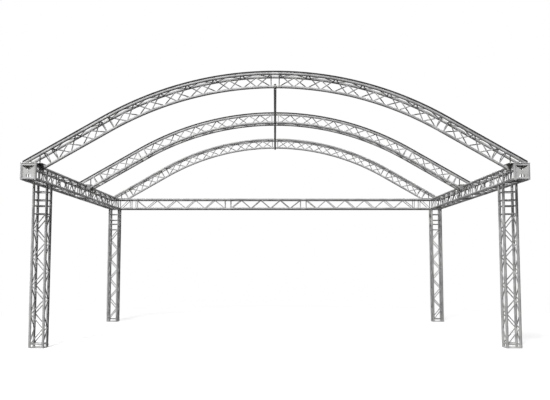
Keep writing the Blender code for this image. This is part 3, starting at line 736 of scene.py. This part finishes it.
def level_arm(bm, heading, side):
    """A square of cross bars on a level arm of a corner block, and a slanting brace on each of its sides."""
    corner_arm(bm, heading, (END_RUNG,))
    for at in (-HALF, HALF):
        for low, high in (((at, -HALF), (at, HALF)), ((-HALF, at), (HALF, at))):
            start = heading * BRACE_NEAR + side * low[0] + Z_AXIS * low[1]
            end = heading * BRACE_FAR + side * high[0] + Z_AXIS * high[1]
            brace(bm, start, end, heading)


def front_corner():
    """Three arms: forward to the end box, back to the side beam, and down to the leg."""
    bm = bmesh.new()
    reach = ARM - GAP / 2
    for index in range(4):
        x, z = corner(index)
        line = straight(Vector((x, -reach, z)), Y_AXIS)
        pinned = steady(Vector((x, 0, z)).normalized())
        chord(bm, line, steady(Y_AXIS), 0, 2 * reach, X_AXIS, pinned)
    corner_legs(bm)
    for y in (-HALF, HALF):
        for z in (-HALF, HALF):
            rung(bm, Vector((-HALF, y, z)), Vector((HALF, y, z)), Y_AXIS)
    level_arm(bm, -Y_AXIS, X_AXIS)
    level_arm(bm, Y_AXIS, X_AXIS)
    return bm


def rear_corner():
    """The left rear corner: arms forward, inward and down."""
    bm = bmesh.new()
    reach = ARM - GAP / 2
    for z in (-HALF, HALF):
        for bend in (Vector((-HALF, HALF, z)), Vector((HALF, -HALF, z))):
            path = ((bend.x, -reach, z), bend, (reach, bend.y, z))
            pipe(bm, path, ROUND_R, TUBE_SIDES, Z_AXIS)
            pin(bm, Vector((bend.x, PIN_INSET - reach, z)), Vector((bend.x, 0, z)).normalized(), Y_AXIS)
            pin(bm, Vector((reach - PIN_INSET, bend.y, z)), Vector((0, bend.y, z)).normalized(), X_AXIS)
    corner_legs(bm)
    for z in (-HALF, HALF):
        inner = Vector((HALF, -HALF, z))
        rung(bm, Vector((-HALF, -HALF, z)), inner, Y_AXIS)
        rung(bm, Vector((HALF, HALF, z)), inner, X_AXIS)
    level_arm(bm, -Y_AXIS, X_AXIS)
    level_arm(bm, X_AXIS, Y_AXIS)
    return bm


def cross_tube(bm, y, z):
    """A tube across the front of an end box, with a weld bead where it leaves each corner."""
    seam = HALF - ROUND_R
    bead_r = CROSS_R + CROSS_BEAD_RISE
    bead_end = seam - CROSS_BEAD - CROSS_BEAD_SLOPE
    stations = ((-HALF, CROSS_R, TUBE), (-seam, CROSS_R, TUBE), (CROSS_BEAD_SLOPE - seam, bead_r, WELD_SLOT),
                (CROSS_BEAD - seam, bead_r, WELD_SLOT), (-bead_end, CROSS_R, WELD_SLOT),
                (bead_end, CROSS_R, TUBE), (seam - CROSS_BEAD, bead_r, WELD_SLOT),
                (seam - CROSS_BEAD_SLOPE, bead_r, WELD_SLOT), (seam, CROSS_R, WELD_SLOT),
                (HALF, CROSS_R, TUBE))
    line = straight(Vector((0, y, z)), X_AXIS)
    turned(bm, plain_rings(line, steady(X_AXIS), Z_AXIS, stations), TUBE_SIDES)


def end_box():
    """The frame of a front end box."""
    bm = bmesh.new()
    stub = BOX_STUB - GAP / 2
    for x in (-HALF, HALF):
        path = ((x, stub, HALF), (x, -HALF, HALF), (x, -HALF, -HALF), (x, stub, -HALF))
        pipe(bm, path, ROUND_R, TUBE_SIDES, X_AXIS)
        for z in (-HALF, HALF):
            pin(bm, Vector((x, stub - PIN_INSET, z)), Vector((x, 0, z)).normalized(), Y_AXIS)
    for side in (-HALF, HALF):
        rung(bm, Vector((side, HALF, -HALF)), Vector((side, HALF, HALF)), Y_AXIS)
        rung(bm, Vector((-HALF, HALF, side)), Vector((HALF, HALF, side)), Y_AXIS)
        cross_tube(bm, -HALF, side)
    return bm


def face_plate():
    """The front plate of an end box, with its notch, window and hole."""
    low = TUBE_R - HALF
    back = FACE_SETBACK + FACE_T - SHELL
    bm = bmesh.new()
    block(bm, (-HALF, FACE_SETBACK - SHELL, -HALF), (HALF, back, HALF))
    cutters = bmesh.new()
    notch = ((low, SHELL), (-low, SHELL), (-low, -low), (0, -low - FACE_NOTCH_DEPTH), (low, -low))
    window = ((-FACE_WINDOW_W / 2, low), (FACE_WINDOW_W / 2, low),
              (FACE_WINDOW_TOP_W / 2, low + FACE_WINDOW_H), (-FACE_WINDOW_TOP_W / 2, low + FACE_WINDOW_H))
    for outline in (notch, window):
        slab(cutters, [Vector((x, -2 * SHELL, z)) for x, z in outline], Y_AXIS * 2 * SHELL)
    pipe(cutters, ((0, -2 * SHELL, 0), (0, 0, 0)), FACE_HOLE_D / 2, HOLE_SIDES, X_AXIS)
    bm = carved(bm, cutters)
    rounded(bm, [edge for edge in bm.edges if edge.calc_face_angle(0) > FACE_CORNER_ANGLE], FACE_EDGE)
    return bm


def base_plate():
    """A square plate with chamfered corners and softened edges."""
    bm = bmesh.new()
    flat = SHELL - BASE_CHAMFER
    outline = [(-SHELL, -flat), (-flat, -SHELL), (flat, -SHELL), (SHELL, -flat),
               (SHELL, flat), (flat, SHELL), (-flat, SHELL), (-SHELL, flat)]
    slab(bm, [Vector((x, y, 0)) for x, y in outline], Z_AXIS * (BASE_T - GAP / 2), BASE_EDGE)
    return bm


# Ridge struts and clamps, about a clamped tube that runs along X, with the strut toward +Y

def across(bm, outline, low, high, edge=0.0, slot=0):
    """An outline in (y, z), extruded along X."""
    slab(bm, [Vector((low, y, z)) for y, z in outline], X_AXIS * (high - low), edge, slot)


def ring_half(side):
    """Half of the clamp's ring, which stops just short of the other half."""
    outer = arc((0, 0), CLAMP_R, -RING_END, RING_END, 18)
    inner = arc((0, 0), ROUND_R + RING_GAP, RING_BORE_END, -RING_BORE_END, 14)
    return [(side * y, z) for y, z in outer + inner]


def knuckle(side):
    """The hinge's knuckle with its web up to the ring."""
    round_end = arc((0, -HINGE_DROP), KNUCKLE_R, 165, 375, 12)
    return [(side * y, z) for y, z in ((0.002, 0.0045 - CLAMP_R), *round_end, (0.014, 0.006 - CLAMP_R))]


def saddle(bm):
    """The strut's half of a clamp, with the pins of the hinge and of the swing bolt."""
    across(bm, ring_half(1), -CLAMP_W / 2, CLAMP_W / 2, PLATE_EDGE, CAST_SLOT)
    lug = [(BOLT_BACK - KNUCKLE_R, 0.0275), (BOLT_BACK + KNUCKLE_R, 0.0185),
           *arc((BOLT_BACK, BOLT_RISE), KNUCKLE_R, 0, 180, 10)]
    for low, high in ((-PIN_REACH, -LUG_GAP / 2), (LUG_GAP / 2, PIN_REACH)):
        across(bm, knuckle(1), low, high, LUG_EDGE, CAST_SLOT)
        across(bm, lug, low, high, LUG_EDGE, CAST_SLOT)
    for y, z in ((0, -HINGE_DROP), (BOLT_BACK, BOLT_RISE)):
        pipe(bm, ((-PIN_REACH, y, z), (PIN_REACH, y, z)), PIN_R, HINGE_PIN_SIDES, Z_AXIS, slot=STEEL_SLOT)
        for x in (-PIN_REACH, PIN_REACH):
            step = math.copysign(PIN_HEAD_T / 2, x)
            ends = ((x - step, y, z), (x + step, y, z))
            pipe(bm, ends, PIN_HEAD_R, PIN_HEAD_SIDES, Z_AXIS, slot=STEEL_SLOT)


def ridge_strut():
    """A ridge strut with half a clamp at each end, about its middle."""
    reach = (REAR_LEG_Y - HALF) / 2
    tube_end = reach - CLAMP_R + STRUT_SEAT
    bm = bmesh.new()
    # The strut's tube is drawn in a dark grey, as painted shade for its shaded underside.
    pipe(bm, ((0, -tube_end, 0), (0, tube_end, 0)), STRUT_R, STRUT_SIDES, X_AXIS, slot=STRUT_PAINTED_SHADE_SLOT)
    for turn in (0, math.pi):
        end = bmesh.new()
        saddle(end)
        collar = [(CLAMP_R + at, STRUT_R + rise, WELD_SLOT) for at, rise in COLLAR_PROFILE]
        turned(end, plain_rings(straight(Vector(), Y_AXIS), steady(Y_AXIS), X_AXIS, collar), STRUT_SIDES)
        bmesh.ops.translate(end, verts=end.verts, vec=(0, -reach, 0))
        bmesh.ops.rotate(end, verts=end.verts, cent=(0, 0, 0), matrix=Matrix.Rotation(turn, 3, 'Z'))
        bm.from_mesh(finish_mesh(end, "end"))
    return bm


def bored_knuckle(bm, outline, y, z, half_width):
    """A lug with a running hole for a pin."""
    solid = bmesh.new()
    across(solid, outline, -half_width, half_width)
    cutter = bmesh.new()
    pipe(cutter, ((-BORE_REACH, y, z), (BORE_REACH, y, z)), PIN_R + HINGE_RUN, BORE_SIDES, Z_AXIS)
    bm.from_mesh(finish_mesh(carved(solid, cutter), "knuckle"))


def clamp_jaw():
    """The hinged half of a clamp, with a fork for the bolt."""
    bm = bmesh.new()
    bored_knuckle(bm, knuckle(-1), 0, -HINGE_DROP, LUG_GAP / 2 - JAW_PLAY)
    across(bm, ring_half(-1), -CLAMP_W / 2, CLAMP_W / 2, PLATE_EDGE)
    back, front = -PRONG_BACK, -PRONG_BACK - PRONG_T
    shoulder = BOLT_RISE - PRONG_CHAMFER
    prong = [(back, PRONG_ROOTS[0]), (back, shoulder), (back - PRONG_CHAMFER, BOLT_RISE),
             (front + PRONG_CHAMFER, BOLT_RISE), (front, shoulder), (front, PRONG_ROOTS[1])]
    for low, high in ((-PIN_REACH, -FORK_HALF), (FORK_HALF, PIN_REACH)):
        across(bm, prong, low, high, PRONG_EDGE)
    return bm


def clamp_bolt():
    """A swing bolt toward -Y: eye, threaded shank, washer and wing nut, closed and backed off."""
    bm = bmesh.new()
    bored_knuckle(bm, arc((0, 0), KNUCKLE_R, 0, 345, 23), 0, 0, LUG_GAP / 2 - EYE_PLAY)
    shank = [(SHANK_START, SHANK_R), (THREAD_START, SHANK_R)]
    for at in (THREAD_START + THREAD_PITCH * turn for turn in range(THREAD_TURNS)):
        shank += [(at + THREAD_PITCH / 2, SHANK_R - THREAD_DEPTH), (at + THREAD_PITCH, SHANK_R)]
    shank.append((shank[-1][0], TIP_R))
    for start, profile, sides in ((0, shank, SHANK_SIDES), (NUT_AT, NUT_PROFILE, NUT_SIDES)):
        stations = [(start + at, radius, 0) for at, radius in profile]
        turned(bm, plain_rings(straight(Vector(), -Y_AXIS), steady(-Y_AXIS), X_AXIS, stations), sides)
    for side in (-1, 1):
        wing = [Vector((side * x, -NUT_AT - at, -WING_T / 2)) for x, at in WING]
        slab(bm, wing, Z_AXIS * WING_T, WING_EDGE)
    return bm


# Pieces of the scene

def finish_mesh(bm, name):
    """Stores a built shape, with its faces turned outward."""
    bmesh.ops.recalc_face_normals(bm, faces=bm.faces)
    mesh = bpy.data.meshes.new(name)
    bm.to_mesh(mesh)
    bm.free()
    return mesh


def moved(mesh, name, matrix):
    """A copy of a mesh in another place."""
    copy = mesh.copy()
    copy.name = name
    copy.transform(matrix)
    if matrix.determinant() < 0:
        copy.flip_normals()
    return copy


def is_broad(mesh, face):
    """Whether a face is large and compact; such a flat face takes no gradient from its rounded edges."""
    points = [mesh.vertices[index].co for index in face.vertices]
    around = sum((after - before).length for before, after in zip(points, points[1:] + points[:1]))
    return face.area > BROAD_AREA and face.area > BROAD_SHARE * around ** 2


def put(name, mesh, place, materials, nodes=(), body="frame"):
    """Adds a copy of a built mesh, moved to its place, as a piece of the object."""
    mesh = moved(mesh, name, place)
    for material in materials:
        mesh.materials.append(material)
    mesh.shade_smooth()
    mesh.set_sharp_from_angle(angle=SHARP_ANGLE)
    for face in mesh.polygons:
        face.use_smooth = not is_broad(mesh, face)
    piece = bpy.data.objects.new(name, mesh)
    bpy.context.scene.collection.objects.link(piece)
    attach(piece, body)
    if nodes:
        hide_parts(*nodes)


def along_y(x, y, z):
    """Turns a module built along +Z to point to the rear, and moves it."""
    return Matrix.Translation((x, y, z)) @ Matrix.Rotation(-math.pi / 2, 4, 'X')


def along_x(x, y, z):
    """Turns a module built along +Z to point to the right, and moves it."""
    return Matrix.Translation((x, y, z)) @ Matrix.Rotation(math.pi / 2, 4, 'Y')


MIRROR = Matrix.Scale(-1, 4, X_AXIS)


# Finishes

def add_node(tree, kind, sockets=None, links=None, **settings):
    """Adds a shader node, or takes the one there by that name, with its settings, socket values and links."""
    node = tree.nodes.get(kind) or tree.nodes.new(kind)
    for key, value in settings.items():
        setattr(node, key, value)
    for key, value in (sockets or {}).items():
        node.inputs[key].default_value = value
    for key, source in (links or {}).items():
        tree.links.new(source, node.inputs[key])
    return node


def metal(name, colour, dark, roughness, metallic, grain_mm, bump=0.15):
    """Bare metal with cloudy handling marks, fine grain and uneven gloss."""
    material = bpy.data.materials.new(name)
    material.use_nodes = True
    tree = material.node_tree
    place = {"Vector": add_node(tree, "ShaderNodeTexCoord").outputs["Object"]}
    marks = add_node(tree, "ShaderNodeTexNoise",
                     {"Scale": 1000 / MARKS_MM, "Detail": MARKS_DETAIL, "Roughness": MARKS_ROUGHNESS}, place)
    grain = add_node(tree, "ShaderNodeTexNoise", {"Scale": 1000 / grain_mm, "Detail": GRAIN_DETAIL}, place)
    tint = add_node(tree, "ShaderNodeValToRGB", links={"Fac": marks.outputs["Fac"]})
    for stop, at, shade in zip(tint.color_ramp.elements, MARKS_RANGE, (dark, colour)):
        stop.position = at
        stop.color = linear(shade)
    gloss = add_node(tree, "ShaderNodeMapRange",
                     {"To Min": roughness + GLOSS_SWING[0], "To Max": roughness + GLOSS_SWING[1]},
                     {"Value": grain.outputs["Fac"]})
    relief = add_node(tree, "ShaderNodeBump", {"Strength": bump, "Distance": BUMP_DEPTH},
                      {"Height": grain.outputs["Fac"]})
    add_node(tree, "Principled BSDF", {"Metallic": metallic, "Specular IOR Level": SHINE},
             {"Base Color": tint.outputs["Color"], "Roughness": gloss.outputs["Result"],
              "Normal": relief.outputs["Normal"]})
    return material


# Studio

def grey(level):
    """A neutral colour from a linear value."""
    return (level, level, level, 1)


def seen_directly(tree):
    """Gives 1 to rays from the camera, glossy faces and glass, and 0 to rays that light the object."""
    path = add_node(tree, "ShaderNodeLightPath").outputs
    either = add_node(tree, "ShaderNodeMath", links={0: path["Is Camera Ray"], 1: path["Is Glossy Ray"]},
                      operation='MAXIMUM')
    return add_node(tree, "ShaderNodeMath", links={0: either.outputs[0], 1: path["Is Transmission Ray"]},
                    operation='MAXIMUM').outputs[0]


def add_surround(scene):
    """A world that looks white behind and in the metal, and gives the object almost no light."""
    world = bpy.data.worlds.new("studio")
    world.use_nodes = True
    scene.world = world
    tree = world.node_tree
    dim = add_node(tree, "Background", {"Color": grey(WORLD_LEVEL), "Strength": 1.0})
    white = add_node(tree, "ShaderNodeBackground", {"Color": grey(1), "Strength": 1.0})
    both = add_node(tree, "ShaderNodeMixShader",
                    links={0: seen_directly(tree), 1: dim.outputs[0], 2: white.outputs[0]})
    add_node(tree, "World Output", links={"Surface": both.outputs[0]})


def add_lamps(scene):
    """Soft lamps that look at the middle of the object."""
    for name, place, size, watts in SOFTBOXES:
        lamp = bpy.data.lights.new(name, 'AREA')
        lamp.size = size
        lamp.energy = watts
        softbox = bpy.data.objects.new(name, lamp)
        softbox.location = place
        softbox.rotation_euler = (Vector(LAMP_TARGET) - softbox.location).to_track_quat('-Z', 'Y').to_euler()
        scene.collection.objects.link(softbox)


def add_camera(scene):
    """The camera of the photograph."""
    camera = bpy.data.cameras.new("camera")
    camera.sensor_width = SENSOR_MM
    camera.lens = LENS_MM
    camera.clip_end = CLIP_END
    camera.shift_x = SHIFT_X
    eye = bpy.data.objects.new("camera", camera)
    eye.location = EYE
    eye.rotation_euler = (EYE_PITCH, 0, 0)
    scene.collection.objects.link(eye)
    scene.camera = eye


def add_floor(scene):
    """A wide floor just under the base plates."""
    mesh = bpy.data.meshes.new("floor")
    bm = bmesh.new()
    bmesh.ops.create_grid(bm, x_segments=1, y_segments=1, size=FLOOR_SIZE)
    bm.to_mesh(mesh)
    bm.free()
    floor = bpy.data.objects.new("floor", mesh)
    floor.location = (0, 0, -FLOOR_DROP)
    scene.collection.objects.link(floor)
    mesh.materials.append(floor_material())


def floor_material():
    """A pale floor: matt near the object so that it holds the shadow, and fading into the white surround."""
    material = bpy.data.materials.new("pale_floor")
    material.use_nodes = True
    tree = material.node_tree
    tree.nodes.clear()
    matt = add_node(tree, "ShaderNodeBsdfDiffuse", {"Color": grey(FLOOR_GREY)})
    lift = add_node(tree, "ShaderNodeEmission", {"Strength": FLOOR_LIFT})
    near = add_node(tree, "ShaderNodeAddShader", links={0: matt.outputs[0], 1: lift.outputs[0]})
    white = add_node(tree, "ShaderNodeEmission")
    place = add_node(tree, "ShaderNodeTexCoord")
    reach = add_node(tree, "ShaderNodeVectorMath", links={0: place.outputs["Object"]}, operation='LENGTH')
    fade = add_node(tree, "ShaderNodeMapRange", {"From Min": FLOOR_FADE[0], "From Max": FLOOR_FADE[1]},
                    {"Value": reach.outputs["Value"]}, interpolation_type='SMOOTHSTEP')
    shown = add_node(tree, "ShaderNodeMixShader",
                     links={0: fade.outputs["Result"], 1: near.outputs[0], 2: white.outputs[0]})
    dull = add_node(tree, "ShaderNodeBsdfDiffuse", {"Color": grey(FLOOR_BOUNCE)})
    both = add_node(tree, "ShaderNodeMixShader",
                    links={0: seen_directly(tree), 1: dull.outputs[0], 2: shown.outputs[0]})
    add_node(tree, "ShaderNodeOutputMaterial", links={"Surface": both.outputs[0]})
    return material


# The whole object

def build_trusses(aluminium):
    """Legs, beams and the seats of the middle arch."""
    leg = finish_mesh(box_truss(0, BEAM_Z - ARM - BASE_T, (LEG_FOOT_RUNG,), LEG_HEAD_RUNGS, -1), "leg")
    for end, y in (("front", FRONT_LEG_Y), ("rear", REAR_LEG_Y)):
        for hand, x in (("left", -LEG_X), ("right", LEG_X)):
            place = Matrix.Translation((x, y, BASE_T))
            put(f"leg_{end}_{hand}", leg, place, aluminium, (f"leg_truss_{end}_{hand}",))
    rungs = (END_RUNG,)
    front = finish_mesh(box_truss(0, SIDE_FRONT, rungs, rungs, 1), "side_front")
    rear = finish_mesh(box_truss(0, SIDE_REAR, rungs, rungs, 1), "side_rear")
    seat = finish_mesh(seat_truss(), "seat")
    start = FRONT_LEG_Y + ARM
    for hand, x in (("left", -LEG_X), ("right", LEG_X)):
        for part, mesh, y in (("side_truss_front", front, start), ("seat_truss", seat, start + SIDE_FRONT),
                              ("side_truss_rear", rear, start + SIDE_FRONT + SEAT)):
            put(f"{part}_{hand}_look", mesh, along_y(x, y, BEAM_Z), aluminium, (f"{part}_{hand}",))
    x = ARM - LEG_X
    for part, length, first_side in REAR_MODULES:
        node = f"rear_truss_{part}"
        mesh = finish_mesh(box_truss(0, length, rungs, rungs, first_side), node)
        put(f"{node}_look", mesh, along_x(x, REAR_LEG_Y, BEAM_Z), aluminium, (node,))
        x += length


def build_arches(aluminium):
    """The curved and straight modules of the three arches."""
    for arch, y, section in (("front", FRONT_BOX_Y, APEX_DOWN), ("middle", 0, APEX_UP),
                             ("rear", REAR_LEG_Y, APEX_DOWN)):
        curve = finish_mesh(arch_module(section, 0, CURVE_END, ARC_STEPS), "curve")
        outer = finish_mesh(arch_module(section, CURVE_END, STRAIGHT_END, 1), "straight")
        place = Matrix.Translation((0, y, 0))
        for part, mesh in (("curve", curve), ("straight", outer)):
            for hand, matrix in (("left", place), ("right", place @ MIRROR)):
                node = f"{arch}_arch_{part}_{hand}"
                put(f"{node}_look", mesh, matrix, aluminium, (node,))


def build_corners(aluminium, plate):
    """Base plates, corner blocks and end boxes."""
    base = finish_mesh(base_plate(), "base")
    front = finish_mesh(front_corner(), "front_corner")
    rear = finish_mesh(rear_corner(), "rear_corner")
    box = finish_mesh(end_box(), "end_box")
    face = finish_mesh(face_plate(), "face")
    for hand, x, mirror in (("left", -LEG_X, Matrix()), ("right", LEG_X, MIRROR)):
        for end, y in (("front", FRONT_LEG_Y), ("rear", REAR_LEG_Y)):
            put(f"foot_plate_{end}_{hand}", base, Matrix.Translation((x, y, 0)), (plate,),
                (f"base_plate_{end}_{hand}",))
        blocks = (("front_corner", front, FRONT_LEG_Y, Matrix(), "corner_block_front"),
                  ("rear_corner", rear, REAR_LEG_Y, mirror, "corner_block_rear"),
                  ("end_box", box, FRONT_BOX_Y, Matrix(), "end_box"))
        for part, mesh, y, turn, node in blocks:
            place = Matrix.Translation((x, y, BEAM_Z)) @ turn
            put(f"{part}_{hand}_look", mesh, place, aluminium, (f"{node}_{hand}",))
        put(f"face_plate_{hand}", face, Matrix.Translation((x, FRONT_BOX_Y, BEAM_Z)), (plate,))


def build_feet_and_rails(aluminium, rail_painted_shade_metal):
    """Arch feet and cover rails."""
    strip = finish_mesh(rail(), "rail")
    arches = (("front", FRONT_BOX_Y, APEX_DOWN, FOOT_TIP, -HALF), ("middle", 0, APEX_UP, FOOT_TIP, 0),
              ("rear", REAR_LEG_Y, APEX_DOWN, FOOT_TIP_REAR, HALF))
    for arch, y, section, tip, rail_y in arches:
        foot = finish_mesh(arch_foot(section, tip), "foot")
        for hand, mirror in (("left", Matrix()), ("right", MIRROR)):
            node = f"{arch}_arch_foot_{hand}"
            put(f"{node}_look", foot, Matrix.Translation((0, y, 0)) @ mirror, aluminium, (node,))
            place = Matrix.Translation((0, y + rail_y, 0)) @ mirror
            put(f"{arch}_cover_rail_{hand}", strip, place, (rail_painted_shade_metal,), (f"{arch}_rail_{hand}",))


def build_ridge(aluminium, cast, steel):
    """Ridge struts, clamp jaws and swing bolts."""
    strut = finish_mesh(ridge_strut(), "strut")
    jaw = finish_mesh(clamp_jaw(), "jaw")
    bolt = finish_mesh(clamp_bolt(), "bolt")
    for part, front, rear in (("front", FRONT_BOX_Y, -HALF), ("rear", HALF, REAR_LEG_Y)):
        place = Matrix.Translation((0, (front + rear) / 2, RIDGE_Z))
        put(f"ridge_tube_{part}", strut, place, aluminium, (f"ridge_strut_{part}",))
        for end, y, side in (("front", front, 1), ("rear", rear, -1)):
            turn = Matrix.Rotation(0 if side > 0 else math.pi, 4, 'Z')
            key = f"{part}_strut_{end}"
            place = Matrix.Translation((0, y, RIDGE_Z)) @ turn
            put(f"jaw_{key}_look", jaw, place, (cast,), (f"clamp_jaw_{key}",), f"jaw_{key}")
            place = Matrix.Translation((0, y + side * BOLT_BACK, RIDGE_Z + BOLT_RISE)) @ turn
            put(f"bolt_{key}_look", bolt, place, (steel,), (f"clamp_bolt_{key}",), f"bolt_{key}")


def main():
    """Dresses the frame."""
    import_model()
    # Metallic is near 0 in all: mirror-like metal in a white surround would wash out the dark undersides.
    # The last numbers are the grain's size in millimetres and, where it isn't faint, its relief.
    # Extruded tube as the mill leaves it: an even pale grey, with duller patches from handling.
    tube = metal("mill_finish_aluminium_tube", "#c4c4c3", "#a0a0a0", 0.38, 0.02, 0.8)
    # Turned on a lathe: brighter and smoother than the tube, so each joint shows as a pale band.
    receiver = metal("machined_aluminium_receiver", "#d2d2d1", "#b8b8b7", 0.30, 0.04, 0.4)
    # Left as welded: rippled, with darker soot beside the bright bead.
    weld = metal("aluminium_weld_bead", "#cccccb", "#8c8c8c", 0.45, 0.02, 1.6, 0.8)
    # Rolled sheet: the palest, and flat in its shading.
    plate = metal("rolled_aluminium_plate", "#d2d2d1", "#c0c0bf", 0.45, 0.02, 0.6)
    # Sand cast and only deburred: a darker grey with a coarse, dull skin.
    cast = metal("cast_aluminium_coupler", "#a8a8a7", "#8a8a89", 0.52, 0.02, 1.2, 0.4)
    # Zinc plated: smooth and a little glossy, darker than the aluminium around it.
    steel = metal("zinc_plated_steel", "#9c9c9c", "#7c7c7c", 0.33, 0.06, 0.5)
    # Painted shade: the ridge strut's tube is a dark grey with hardly any shine, standing in for the shade on
    # its underside.
    strut = metal("strut_tube_painted_shade", "#6a6a69", "#565655", 0.50, 0.02, 1.0)
    # Dark grey aluminium, an even satin: painted shade that stands in for the shadow in the cover rails'
    # grooves and on the thin posts, and draws the line along the top of each arch.
    dark = metal("dark_aluminium_painted_shade", "#545454", "#404040", 0.42, 0.02, 0.7)
    aluminium = (tube, receiver, weld, plate, cast, steel, strut, dark)
    build_trusses(aluminium)
    build_arches(aluminium)
    build_corners(aluminium, plate)
    # The cover rails take the dark grey as painted shade for the shadow in their grooves.
    build_feet_and_rails(aluminium, dark)
    build_ridge(aluminium, cast, steel)
    scene = bpy.context.scene
    scene.view_settings.view_transform = 'Standard'
    add_surround(scene)
    add_lamps(scene)
    add_camera(scene)
    add_floor(scene)


main()
